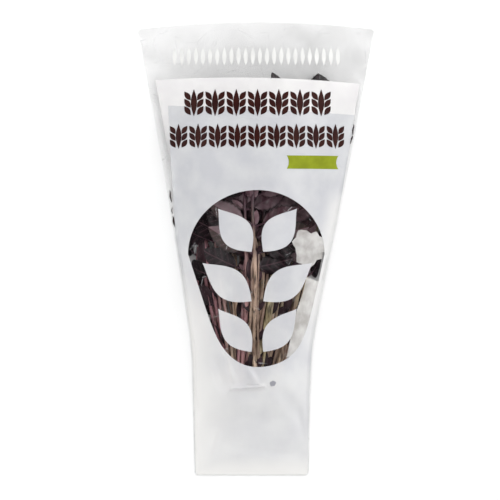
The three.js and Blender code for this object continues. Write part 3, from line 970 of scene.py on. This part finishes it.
def make_paths(sprig, draw):
    """The stem, its petioles and two thin side shoots as open lines with a radius at each point."""
    paths = {"vertices": [], "edges": [], "girth": [], "tone": []}
    nodes = node_places(sprig)
    stem = []
    for step in range(STEM_STEPS + 1):
        y = mix(sprig["cut_y"], sprig["tip_y"], step / STEM_STEPS)
        r = stem_radius(sprig, y)
        swell = sum(math.exp(-(((y - node) / NODE_LENGTH) ** 2)) for node in nodes)
        x = stem_x(sprig, y)
        girth = r * (NODE_SLIM + NODE_SWELL * min(swell, 1))
        woody = 1 - ease(*WOODY_SPAN, y) - NODE_YOUNG * min(swell, 1)
        stem.append(((x, y, bed(sprig, x, y) + STEM_LIFT + r), girth, max(woody, 0)))
    add_path(paths, stem)
    for leaf in sprig["leaves"]:
        root = stem_radius(sprig, leaf["y"]) + STEM_LIFT
        reach = leaf["petiole"] + PETIOLE_REACH * leaf["length"]
        line = []
        for step in range(PETIOLE_STEPS + 1):
            along = reach * step / PETIOLE_STEPS
            x, y = leaf_point(sprig, leaf, along, 0, 0)
            level = mix(root, leaf["level"], min(along / leaf["petiole"], 1))
            sunk = ease(leaf["petiole"], leaf["petiole"] + PETIOLE_SINK[1], along)
            z = bed(sprig, x, y) + level - PETIOLE_SINK[0] * sunk
            line.append(((x, y, z), mix(*PETIOLE_RADIUS, step / PETIOLE_STEPS), 0))
        add_path(paths, line)
    for side in (-1, 1):
        radius = mix(*SHOOT_RADIUS, draw())
        low = sprig["cut_y"] + SHOOT_LOW * draw()
        high = sprig["leaf_y"] - SHOOT_DROP + SHOOT_SWAY * draw()
        gap, phase = SHOOT_GAP[0] + SHOOT_GAP[1] * draw(), math.pi * draw()
        if side < 0 and sprig["lane"] < OUTER_LANE:
            radius, gap, phase = OUTER_SHOOT
        line = []
        for step in range(SHOOT_STEPS + 1):
            t = step / SHOOT_STEPS
            y = mix(low, high, t)
            off = stem_radius(sprig, y) + radius + gap * math.sin(math.pi * t + phase) ** 2
            x = stem_x(sprig, y) + side * off * (1 - SHOOT_TUCK[0] * ease(SHOOT_TUCK[1], 1, t))
            z = bed(sprig, x, y) + STEM_LIFT + radius
            woody = SHOOT_WOODY[0] - SHOOT_WOODY[1] * t
            line.append(((x, y, z), radius * mix(*SHOOT_TAPER, t), woody))
        add_path(paths, line)
    return paths


def make_side_leaves(sprig, draw):
    """Points for the small leaves: two at each node, with their turn and size."""
    spots = {"vertices": [], "turn": [], "size": [], "tone": []}
    for node in node_places(sprig):
        for side in (-1, 1):
            bare = node < sprig["leaf_y"] - 1
            length = SIDE_LEAF * mix(*SIDE_SIZE, draw()) * (BARE_SIZE if bare else 1)
            turn = side * mix(*(BARE_OPENING if bare else SIDE_OPENING), draw())
            if bare and side < 0 and sprig["lane"] < LEFT_LANE:
                length, turn = LEFT_SIZE * length, LEFT_OPENING * turn
            x = stem_x(sprig, node) + side * stem_radius(sprig, node)
            room = SIDE_ROOM * (half_width(node) - WELD_WIDTH) - side * (x - middle_x(node))
            length = min(length, max(room, SIDE_LEAST) / math.sin(abs(turn)))
            z = bed(sprig, x, node) + SIDE_LIFT[0] + SIDE_LIFT[1] * draw()
            spots["vertices"].append((x, node, z))
            spots["turn"].append(-turn)
            spots["size"].append(length * MM)
            spots["tone"].append(tone_by_place(draw() * (BARE_TONE if bare else 1), x, node))
    return spots


for sprig in sprigs:
    for leaf in sprig["leaves"]:
        tip_x = leaf_point(sprig, leaf, leaf["petiole"] + leaf["length"], 0, 0)[0]
        reach = [
            high
            for low_x, high_x, high in TIP_LIMITS
            if low_x < tip_x < high_x and leaf["petiole"] == TOP_PETIOLE
        ]
        room = ((reach or [TIP_LIMIT])[0] - leaf["y"]) / math.cos(leaf["angle"]) - leaf["petiole"]
        leaf["length"] = room if reach else min(leaf["length"], room)
    label = f"sprig_{sprig['index'] + 1:02d}"
    draw = make_random(SEED + TOUCH_SEED_STEP * (sprig["index"] + 1))

    net = {"vertices": [], "faces": [], "along": [], "across": [], "share": [], "tone": []}
    for leaf in sprig["leaves"]:
        add_blade(sprig, leaf, draw, net)
    leaves = place(f"{label}_leaves", net["vertices"], net["faces"], leaf_skin)
    for name, unit in (("along", MM), ("across", MM), ("share", 1), ("tone", 1)):
        store(leaves.data, name, [value * unit for value in net[name]])
    grow(leaves, blade_rule, BLADE_SIZES, BLADE)

    paths = make_paths(sprig, draw)
    stem = place(f"{label}_stem", paths["vertices"], [], stem_skin)
    stem.data.edges.add(len(paths["edges"]))
    stem.data.edges.foreach_set("vertices", [i for edge in paths["edges"] for i in edge])
    store(stem.data, "girth", paths["girth"])
    store(stem.data, "tone", paths["tone"])
    store(stem.data, "lot", [draw()] * len(paths["tone"]))
    grow(stem, stem_rule, STEM_SIZES)

    spots = make_side_leaves(sprig, draw)
    small = place(f"{label}_side_leaves", spots["vertices"], [], leaf_skin)
    for name in ("turn", "size", "tone"):
        store(small.data, name, spots[name])
    grow(small, side_rule, SIDE_SIZES, BLADE)

    for piece in (leaves, stem, small):
        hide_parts(label)
        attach(piece, "root")

# ---- Front film ----
# The front half of the sleeve, arched over the bunch and slack at the mouth: the same clear
# film, with a white printed panel from below the mouth to the foot. A window in the print, half
# round above and tapering to its foot, shows the herb, crossed by a spray of six white leaves.
WELD_TOP = 0.56
ARCH_POWER = 2.4
ARCH_HEIGHTS = (
    (-175, 0),
    (-172, 0),
    (-160, 3),
    (-138, 4),
    (-112, 20.3),
    (-80, 22.5),
    (-40, 30),
    (-8, 36.5),
    (60, 36),
    (110, 30),
    (142, 21),
    (175, 13),
)
ARCH_SHIFTS = (-7.5, -2.5, 2.5, 7.5)  # its height is the mean of four places along it
LIFT = 0.7
# A slight unevenness: its height, its length across and along the film, and where it is cut.
UNEVEN = ((0.5, 22, 34, 3.1), (0.22, 8, 11, 7.7))
SLACK_SIDE = 0.14  # share of the half-width over which folds die out towards the sides
SLACK_FOOT = (FOOT_Y + 3, FOOT_Y + 18)  # and the heights over which they come in at the foot
MOUTH_WAVE = 0.8
MOUTH_SPAN = (120, 175)
MOUTH_LENGTH = 9.5
MOUTH_SWAY = (1.2, 21)
WINDOW_STEPS = 128
WINDOW_SQUARE = 8  # the higher, the flatter the foot of the window
WINDOW_MIDDLE = (1.1, -4)  # where the window is widest
WINDOW_RISE = 49.4
WINDOW_DROP = 86.7
WINDOW_LEFT = (53.5, 0.53)  # half-width, and the share of it that the taper below takes away
WINDOW_RIGHT = (51.9, 0.38)
# A crumpled patch at the right of the window, painted milky white as painted glare, with a ragged
# edge: depth, count and shift of waves.
GLARE_MIDDLE = (41, 1)
GLARE_HALF = (12.5, 14)
GLARE_WAVES = ((0.13, 3, 0.8), (0.07, 7, 0), (0.05, 11, 2))
GLARE_STEPS = 40
# Right of this line, down along the stems, the film stands off the herb and is painted milky as
# well: painted light over the shade inside.
SLACK_EDGE = (
    (38.9, -21.6),
    (36.4, -33.1),
    (33.3, -41.6),
    (31, -48.6),
    (28.7, -56.3),
    (27.1, -66.3),
    (25, -77),
    (23.4, -83.5),
)
SPRAY_STEPS = 22
SPRAY_BELLY = 0.85  # below 1, a leaf is widest before its middle
SPRAY_POINT = 1.15
# Each leaf of the white spray: place of its base beside the middle, height, turn, length, width.
SPRAY = ((4.5, -79, 0.66, 42, 21), (4.5, -40, 0.91, 48, 24), (4.5, -2, 0.66, 42, 24))
CREASE = ((-20, -107.6), (6.5, -105.7))  # the sharp fold over the cut ends
CREASE_STEPS = 30
CREASE_LOW = 0.9  # the film is cut this far below the fold
CREASE_HIGH = 0.1  # and this far above it
# Soft folds pressed into the film: from, to, half-width, height (below zero is a dent).
FOLDS = (
    ((-25, -80), (-18, -103), 2.6, 2.0),
    ((-32, -84), (-25, -106), 3.2, -1.4),
    ((-8, -90), (0, -103), 2.4, 1.9),
    ((-15, -92), (-9, -106), 3.0, -1.2),
    (*CREASE, 0.8, 2.8),
    ((20, -110), (46, -146), 6.0, -2.0),
    ((-26, -151), (36, -158), 5.0, -1.6),
    ((52, -60), (38, -112), 5.0, 1.0),
    ((-30, -140), (-38, -172), 4.0, 0.9),
    ((-60, 60), (-40, -60), 5.0, 0.6),
    ((66, 90), (56, 0), 6.0, -0.7),
    ((-70, 160), (-60, 120), 6.0, 0.7),
    ((-20, 172), (-28, 128), 9.0, -0.7),
    ((34, 172), (46, 132), 8.0, 0.8),
    ((70, 168), (72, 120), 6.0, -0.6),
)
FOLD_REACH = 3  # a fold ends this many half-widths aside
FOLD_END = 0.3  # and this share of its length past its ends
STRIP_SHADE_SPAN = (70, 108)  # painted shade on the edge print is full below here, and less and less up to here
# Painted light that brightens the print at the leg, the left side, near the right side and at the
# foot: each amount, and the heights over which it ends.
PAINTED_LIGHT_LEG = (0.33, (-105, -85))
PAINTED_LIGHT_LEFT = (0.9, (-70, 25))
PAINTED_LIGHT_RIGHT = (0.7, (30, 52))
PAINTED_LIGHT_FOOT = (1, (FOOT_Y, FOOT_Y + 28))
PAINTED_LIGHT_POWER = 1.3  # on the left it grows towards the side
PAINTED_LIGHT_START = (-110, -30)  # on the right it comes in over these heights
PAINTED_LIGHT_EDGE = (0.78, 1)  # and only near the side


def arch_height(y):
    """Height of the front film, with the turns between its stations made soft."""
    total = 0
    for shift in ARCH_SHIFTS:
        spot = clamp(y + shift, FOOT_Y, MOUTH_Y)
        for (low_y, low), (high_y, high) in zip(ARCH_HEIGHTS, ARCH_HEIGHTS[1:]):
            if low_y <= spot <= high_y:
                total += mix(low, high, (spot - low_y) / (high_y - low_y)) / len(ARCH_SHIFTS)
                break
    return total


def fold_height(x, y):
    total = 0
    for (ax, ay), (bx, by), width, height in FOLDS:
        dx, dy = bx - ax, by - ay
        size = math.hypot(dx, dy)
        t = ((x - ax) * dx + (y - ay) * dy) / size**2
        off = abs((x - ax) * dy - (y - ay) * dx) / size
        if off < FOLD_REACH * width and -FOLD_END < t < 1 + FOLD_END:
            rise = height * math.exp(-((off / width) ** 2)) * ease(-FOLD_END, FOLD_END, t)
            total += fade(rise, (1 - FOLD_END, 1 + FOLD_END), t)
    return total


def front_top(x, y):
    """Upper face of the front film: its arch, its folds and a slight unevenness."""
    aside = min(abs(x - middle_x(y)) / (half_width(y) - WELD_WIDTH), 1)
    slack = ease(0, SLACK_SIDE, 1 - aside) * ease(*SLACK_FOOT, y)
    uneven = 0
    for height, across, along, cut in UNEVEN:
        uneven += height * noise.noise(Vector((x / across, y / along, cut)))
    sway = MOUTH_SWAY[0] * math.sin(y / MOUTH_SWAY[1])
    mouth = MOUTH_WAVE * ease(*MOUTH_SPAN, y) * math.sin(x / MOUTH_LENGTH + sway)
    rise = (arch_height(y) + LIFT) * (1 - aside**ARCH_POWER)
    return WELD_TOP + rise + slack * (uneven + mouth + fold_height(x, y))


def window_outline():
    """A half round above the window's widest place, and a taper to a rounded foot below it."""
    line = []
    for i in range(WINDOW_STEPS):
        turn = 2 * math.pi * i / WINDOW_STEPS
        up = math.sin(turn)
        half, taper = WINDOW_RIGHT if math.cos(turn) > 0 else WINDOW_LEFT
        if up > 0:
            x, y = half * abs(math.cos(turn)), WINDOW_RISE * up
        else:
            x = half * (1 + taper * up) * math.sqrt(1 - up**WINDOW_SQUARE)
            y = WINDOW_DROP * up
        line.append((WINDOW_MIDDLE[0] + math.copysign(x, math.cos(turn)), WINDOW_MIDDLE[1] + y))
    return line


def spray_leaf(side, base_x, base_y, turn, length, width):
    """A pointed leaf shape, widest before its middle."""
    line = []
    for edge, steps in ((1, range(SPRAY_STEPS)), (-1, range(SPRAY_STEPS, 0, -1))):
        for i in steps:
            s = i / SPRAY_STEPS
            half = edge * width / 2 * (math.sin(math.pi * s**SPRAY_BELLY)) ** SPRAY_POINT
            x = math.sin(turn) * s * length + math.cos(turn) * half
            y = math.cos(turn) * s * length - math.sin(turn) * half
            line.append((WINDOW_MIDDLE[0] + side * (base_x + x), base_y + y))
    return line


def crease_outline():
    """A closed line round the top and the steep lower side of the sharp fold, for a clean edge."""
    shares = [i / CREASE_STEPS for i in range(CREASE_STEPS + 1)]
    near = [[mix(a, b, share) for a, b in zip(*CREASE)] for share in shares]
    return [(x, y - CREASE_LOW) for x, y in near] + [(x, y + CREASE_HIGH) for x, y in near[::-1]]


def ragged_round(middle, half, waves, steps):
    """An oval whose edge goes in and out by waves, as a closed line."""
    line = []
    for i in range(steps):
        turn = 2 * math.pi * i / steps
        size = 1
        for depth, count, shift in waves:
            size += depth * math.sin(count * turn + shift)
        x = middle[0] + half[0] * size * math.cos(turn)
        line.append((x, middle[1] + half[1] * size * math.sin(turn)))
    return line


def slack_outline(window):
    """The slack line, closed along the right side of the window."""
    low, high = SLACK_EDGE[-1][1], SLACK_EDGE[0][1]
    side = [(x, y) for x, y in window if x > WINDOW_MIDDLE[0] and low < y < high]
    return list(SLACK_EDGE) + side


def print_painted_light(x, y):
    """Share of painted light on the print: at the foot and leg, more on the left, and near the
    right side.
    """
    aside = clamp((x - middle_x(y)) / (half_width(y) - WELD_WIDTH), -1, 1)
    leg = fade(*PAINTED_LIGHT_LEG, y)
    left = fade(*PAINTED_LIGHT_LEFT, y) * max(-aside, 0) ** PAINTED_LIGHT_POWER
    right = fade(*PAINTED_LIGHT_RIGHT, y) * ease(*PAINTED_LIGHT_START, y) * ease(*PAINTED_LIGHT_EDGE, aside)
    return max(leg + left * (1 - leg) + right, fade(*PAINTED_LIGHT_FOOT, y))


def strip_shade(x, y):
    """Share of painted shade on the edge print: full where its strip is narrow, less and less
    above.
    """
    return fade(1, STRIP_SHADE_SPAN, y)


window = window_outline()
glare_patch = ragged_round(GLARE_MIDDLE, GLARE_HALF, GLARE_WAVES, GLARE_STEPS)
spray = [spray_leaf(side, *leaf) for leaf in SPRAY for side in (-1, 1)]
slack = slack_outline(window)
front_lines = [outline, panel, second, window, glare_patch, slack, crease_outline(), *spray]
front_plan, front_triangles = cut_plan(front_lines)
bare, opening, glare_faces, printed, twice = [], [], [], [], []
for triangle in front_triangles:
    x, y = middle_of(front_plan, triangle)
    if not inside(panel, x, y):
        bare.append(triangle)
    elif inside(window, x, y) and not any(inside(leaf, x, y) for leaf in spray):
        (glare_faces if inside(glare_patch, x, y) or inside(slack, x, y) else opening).append(triangle)
    else:
        (printed if inside(second, x, y) else twice).append(triangle)

# White gravure ink behind clear film: a cool white that lets a little of what lies behind it
# through, with painted light that brightens it at the foot and the sides, printed twice along the
# upper edge, which makes a brighter band there, with painted shade on that print's narrow left
# strip. The window and the bare rims are the same film, clear over the herb, and painted milky at
# the right of the window and down along the stems, as painted glare and painted light.
window_film = film_material(
    "clean clear polypropylene film", "#161618", "#2C2C2F",
    alpha=0.016, roughness=0.12, dent=0.6, glint=0.22,
)
# Painted glare and painted light: this milky film lies at the right of the window and down along
# the stems.
glare_film = film_material(
    "crumpled polypropylene film with painted glare", "#C4C1BD", "#F0EEEC",
    alpha=0.5, roughness=0.16, dent=0.9, patch=10,
)
# Painted light: the print turns to its brighter tone by the stored share.
front_ink = film_material(
    "white ink on polypropylene film", "#DCDDE2", "#E8E9EB",
    alpha=0.62, roughness=0.3, dent=0.3, tone="#FFFEFC",
)
# Painted shade: this print turns to its darker tone by the stored share, on its narrow left strip.
double_ink = film_material(
    "white ink printed twice on film", "#EFEDEE", "#F6F5F4",
    alpha=0.7, roughness=0.3, dent=0.3, tone="#C9C8C9",
)
front_clear = lay_film("front_film_clear", front_plan, bare, front_top, FILM, clear_film, thin)
front_window = lay_film("front_film_window", front_plan, opening, front_top, FILM, window_film)
front_glare = lay_film("front_film_glare", front_plan, glare_faces, front_top, FILM, glare_film)
front_print = lay_film("front_film_print", front_plan, printed, front_top, FILM, front_ink, print_painted_light)
front_twice = lay_film("front_film_print_edge", front_plan, twice, front_top, FILM, double_ink, strip_shade)
for piece in (front_clear, front_window, front_glare, front_print, front_twice):
    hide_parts("sleeve")
    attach(piece, "root")

# ---- Printed bands ----
# Two bands of an upright leaf-sprig mark in dark brown ink, printed over the white in the upper
# part of the panel: each mark is a slim pointed stem between three pairs of leaflets. Above them a
# row of the bare stems is printed in thin white ink on the clear film at the mouth.
INK_LIFT = 0.12
INK = 0.1
BANDS = (
    {"count": 7, "middle": (1.2, 112.7), "span": 98, "height": 20.9, "pale": False},
    {"count": 9, "middle": (0.8, 87.0), "span": 121, "height": 19.2, "pale": False},
    {"count": 24, "middle": (0.3, 148.6), "span": 126, "height": 14.2, "pale": True},
)
MARK_SIZES = {"Count": 7, "Pitch": 1.0, "Height": 1.0, "Leaflets": 3}
# The parts of a mark, as shares of its height.
MARK_WIDTH = 0.23
LEAFLET_LENGTH = 0.4
LEAFLET_WIDTH = 0.2
LEAFLET_ASIDE = 0.12
LEAFLET_START = 0.05
LEAFLET_STEP = 0.27
LEAFLET_TURN = 0.62  # in radians


def almond(tree, length, width, rows):
    """A pointed leaf shape that stands on the origin."""
    net, aside, share = start_net(tree, 3, rows)
    swell = add(tree, SINE, add(tree, TIMES, share, math.pi * 0.998))
    half = add(tree, TIMES, add(tree, MOST, swell, 0.02), width)
    spot = {"X": add(tree, TIMES, aside, half), "Y": add(tree, TIMES, share, length)}
    return shape_net(tree, net, spot)


def mark_tree(material):
    tree, sizes = start_tree("band of sprig marks", MARK_SIZES)
    parts = [almond(tree, 1.0, MARK_WIDTH, 15)]
    leaflet = almond(tree, LEAFLET_LENGTH, LEAFLET_WIDTH, 9)
    for side in (-1, 1):
        first, step = (side * LEAFLET_ASIDE, LEAFLET_START, 0), (0, LEAFLET_STEP, 0)
        rungs = {"Count": sizes["Leaflets"], "Start Location": first, "Offset": step}
        rungs = add(tree, "GeometryNodeMeshLine", rungs)
        pairs = {"Points": rungs, "Instance": leaflet, "Rotation": (0, 0, -side * LEAFLET_TURN)}
        parts.append(add(tree, "GeometryNodeInstanceOnPoints", pairs))
    unit = add(tree, "GeometryNodeJoinGeometry")
    for part in parts:
        tree.links.new(part, unit.node.inputs["Geometry"])
    step = add(tree, "ShaderNodeCombineXYZ", {"X": sizes["Pitch"]})
    row = add(tree, "GeometryNodeMeshLine", {"Count": sizes["Count"], "Offset": step})
    scale = {"X": sizes["Height"], "Y": sizes["Height"], "Z": 1.0}
    scale = add(tree, "ShaderNodeCombineXYZ", scale)
    marks = {"Points": row, "Instance": unit, "Scale": scale}
    return end_tree(tree, add(tree, "GeometryNodeInstanceOnPoints", marks), material)


# Gravure ink: dense, slightly glossy and finely grained, with a tone that drifts a little where
# it is thinner.
INK_GRAIN = 1.2
INK_GRAIN_DEPTH = 0.05
INK_PATCH = 8


def ink_material(name, low, high):
    material, tree, where = start_material(name)
    grain = add(tree, NOISE, {"Vector": where, "Scale": 1 / (INK_GRAIN * MM), "Detail": 2})
    skin = add(tree, BUMP, {"Strength": 0.15, "Distance": INK_GRAIN_DEPTH * MM, "Height": grain})
    colour = mottled(tree, where, INK_PATCH, low, high, (0.3, 0.7))
    surface = {"Base Color": colour, "Roughness": 0.45, "IOR": FILM_IOR, "Normal": skin}
    end_material(tree, {**surface, "Specular IOR Level": 0.1})
    return material


brown_ink = ink_material("dark brown gravure ink", "#280B0B", "#36150E")
pale_ink = ink_material("thin white gravure ink", "#DEDEDC", "#EAEAE8")
mark_rule = mark_tree(brown_ink)


def ink_top(x, y):
    return front_top(x, y) + INK_LIFT


for number, band in enumerate(BANDS, 1):
    flat = place(f"print_band_{number}_flat", [(0, 0, 0)], [], brown_ink)
    pitch = band["span"] / (band["count"] - 1)
    sizes = {
        "Count": band["count"],
        "Pitch": pitch * MM,
        "Height": band["height"] * MM,
        "Leaflets": 0 if band["pale"] else MARK_SIZES["Leaflets"],
    }
    grow(flat, mark_rule, sizes)
    left = band["middle"][0] - band["span"] / 2
    low = band["middle"][1] - band["height"] / 2
    plan = [(left + v.co.x / MM, low + v.co.y / MM) for v in flat.data.vertices]
    faces = [list(face.vertices) for face in flat.data.polygons]
    bpy.data.objects.remove(flat)
    band_ink = pale_ink if band["pale"] else brown_ink
    marks = lay_film(f"print_band_{number}", plan, faces, ink_top, INK, band_ink)
    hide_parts("sleeve")
    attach(marks, "root")

# ---- Variety flag ----
# A plain flag of yellow-green ink under the bands on the right, with ends cut slightly hollow.
FLAG_MIDDLE = (43.6, 66.9)
FLAG_HALF = (20, 5.1)
FLAG_HOLLOW = 1.6
FLAG_COLUMNS = 16
FLAG_ROWS = 6

green_ink = ink_material("yellow-green gravure ink", "#808A1C", "#909C22")
flag_plan = []
for row in range(FLAG_ROWS + 1):
    up = 2 * row / FLAG_ROWS - 1
    half = FLAG_HALF[0] - FLAG_HOLLOW * (1 - up * up)
    for column in range(FLAG_COLUMNS + 1):
        across = 2 * column / FLAG_COLUMNS - 1
        flag_plan.append((FLAG_MIDDLE[0] + half * across, FLAG_MIDDLE[1] + FLAG_HALF[1] * up))
flag_faces = net_faces(FLAG_ROWS + 1, FLAG_COLUMNS + 1)
flag = lay_film("print_flag", flag_plan, flag_faces, ink_top, INK, green_ink)
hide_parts("sleeve")
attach(flag, "root")

# ---- Leaf scraps and stem mark ----
# Slivers of torn leaf caught between the films in the seams, and a grey spot on the print where
# one cut stem end presses against the front film from inside.
# Each sliver: from, to, half-width.
SCRAPS = (
    ((-66.8, 46), (-65.5, 36), 0.55),
    ((-65.1, 33), (-64.8, 27), 0.35),
    ((-64.4, 26), (-62.4, 16), 0.75),
    ((75.7, 97), (74.6, 88), 0.6),
    ((74.8, 88), (72.3, 81), 0.85),
)
SCRAP_TOP = FILM + 0.05
SCRAP = 0.04
SCRAP_STEPS = 12
SCRAP_POINT = 0.7
SCRAP_WAVE = (0.2, 9)
SPOT_MIDDLE = (13.0, -103.4)
SPOT_HALF = (2.1, 2.4)
SPOT_WAVES = ((0.16, 2, 1), (0.1, 5, 0))
SPOT_STEPS = 16


def scrap_top(x, y):
    return SCRAP_TOP


def sliver(start, end, half):
    """A closed plan line round a slender, slightly wavy strip."""
    (ax, ay), (bx, by) = start, end
    line = []
    for edge, steps in ((1, range(SCRAP_STEPS + 1)), (-1, range(SCRAP_STEPS, -1, -1))):
        for i in steps:
            t = i / SCRAP_STEPS
            wave = SCRAP_WAVE[0] * math.sin(SCRAP_WAVE[1] * t)
            wide = edge * half * math.sin(math.pi * t) ** SCRAP_POINT + wave
            line.append((mix(ax, bx, t) + wide, mix(ay, by, t)))
    return line[:-1]


scrap_plan, scrap_faces = [], []
for scrap in SCRAPS:
    line = sliver(*scrap)
    scrap_faces.append(list(range(len(scrap_plan), len(scrap_plan) + len(line))))
    scrap_plan += line
scraps = lay_film("leaf_scraps", scrap_plan, scrap_faces, scrap_top, SCRAP, leaf_skin)
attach(scraps, "root")

mark_ink = ink_material("grey shadow of a stem end under film", "#8C8C93", "#A2A2A9")
spot_plan = [SPOT_MIDDLE, *ragged_round(SPOT_MIDDLE, SPOT_HALF, SPOT_WAVES, SPOT_STEPS)]
spot_faces = [[0, i + 1, (i + 1) % SPOT_STEPS + 1] for i in range(SPOT_STEPS)]
spot = lay_film("stem_mark", spot_plan, spot_faces, ink_top, INK, mark_ink)
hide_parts("sleeve")
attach(spot, "root")

# ---- Table, light and camera ----
# The bunch lies on a plain white table under a large soft light, and the camera looks down on it.
TABLE_HALF = 6000
TABLE_DROP = 0.5
VIEW_CENTRE = (-4.6, -0.6)
VIEW_FIELD = 386.75
SENSOR = 36
LENS = 400
FAR = 40
# Each light aims at the middle of the bunch: its place and the width of its disk in metres, power.
LIGHTS = {
    "key_light": ((1.25, 0.75, 1.25), 2.4, 27.5),
    "fill_light": ((-1.35, 0.2, 1.25), 2.2, 15.5),
    "foot_light": ((0.1, -1.5, 1.4), 1.2, 5),
}
TENT = ((0.55, 1), (0.9, 0.07))  # how far up the tent each brightness is
TENT_GLOW = 0.88
FILM_WALLS = 24  # light passes this many walls of film

table_finish, tree, where = start_material("matt white table, painted")
paint = mottled(tree, where, 60, "#F8F8F8", "#FCFCFC")
end_material(tree, {"Base Color": paint, "Roughness": 0.6})
quarters = ((-1, -1), (1, -1), (1, 1), (-1, 1))
corners = [(x * TABLE_HALF, y * TABLE_HALF, -TABLE_DROP) for x, y in quarters]
table = place("table", corners, [(0, 1, 2, 3)], table_finish, smooth=False)

for name, (spot, width, power) in LIGHTS.items():
    lamp = bpy.data.lights.new(name, "AREA")
    lamp.shape = "DISK"
    lamp.size = width
    lamp.energy = power
    holder = bpy.data.objects.new(name, lamp)
    holder.location = spot
    holder.rotation_euler = (-Vector(spot)).to_track_quat("-Z", "Y").to_euler()
    bpy.context.scene.collection.objects.link(holder)

# A pale tent with a darker opening overhead, so that dark glossy leaves stay dark from above.
world = bpy.data.worlds.new("studio")
world.use_nodes = True
sky = world.node_tree
sky.nodes.clear()
facing = add(sky, "ShaderNodeTexCoord", output="Generated")
tent = add(sky, RAMP, add(sky, "ShaderNodeSeparateXYZ", facing, output="Z"))
for stop, (up, tone) in zip(tent.node.color_ramp.elements, TENT):
    stop.position, stop.color = up, (tone, tone, tone, 1)
glow = add(sky, "ShaderNodeBackground", {"Color": tent, "Strength": TENT_GLOW})
add(sky, "ShaderNodeOutputWorld", {"Surface": glow})
bpy.context.scene.world = world
bpy.context.scene.view_settings.view_transform = "Standard"
bpy.context.scene.cycles.transparent_max_bounces = FILM_WALLS

lens = bpy.data.cameras.new("camera")
lens.lens = LENS
lens.sensor_width = SENSOR
lens.clip_end = FAR
camera = bpy.data.objects.new("camera", lens)
distance = VIEW_FIELD * LENS / SENSOR
camera.location = (VIEW_CENTRE[0] * MM, VIEW_CENTRE[1] * MM, distance * MM)
bpy.context.scene.collection.objects.link(camera)
bpy.context.scene.camera = camera
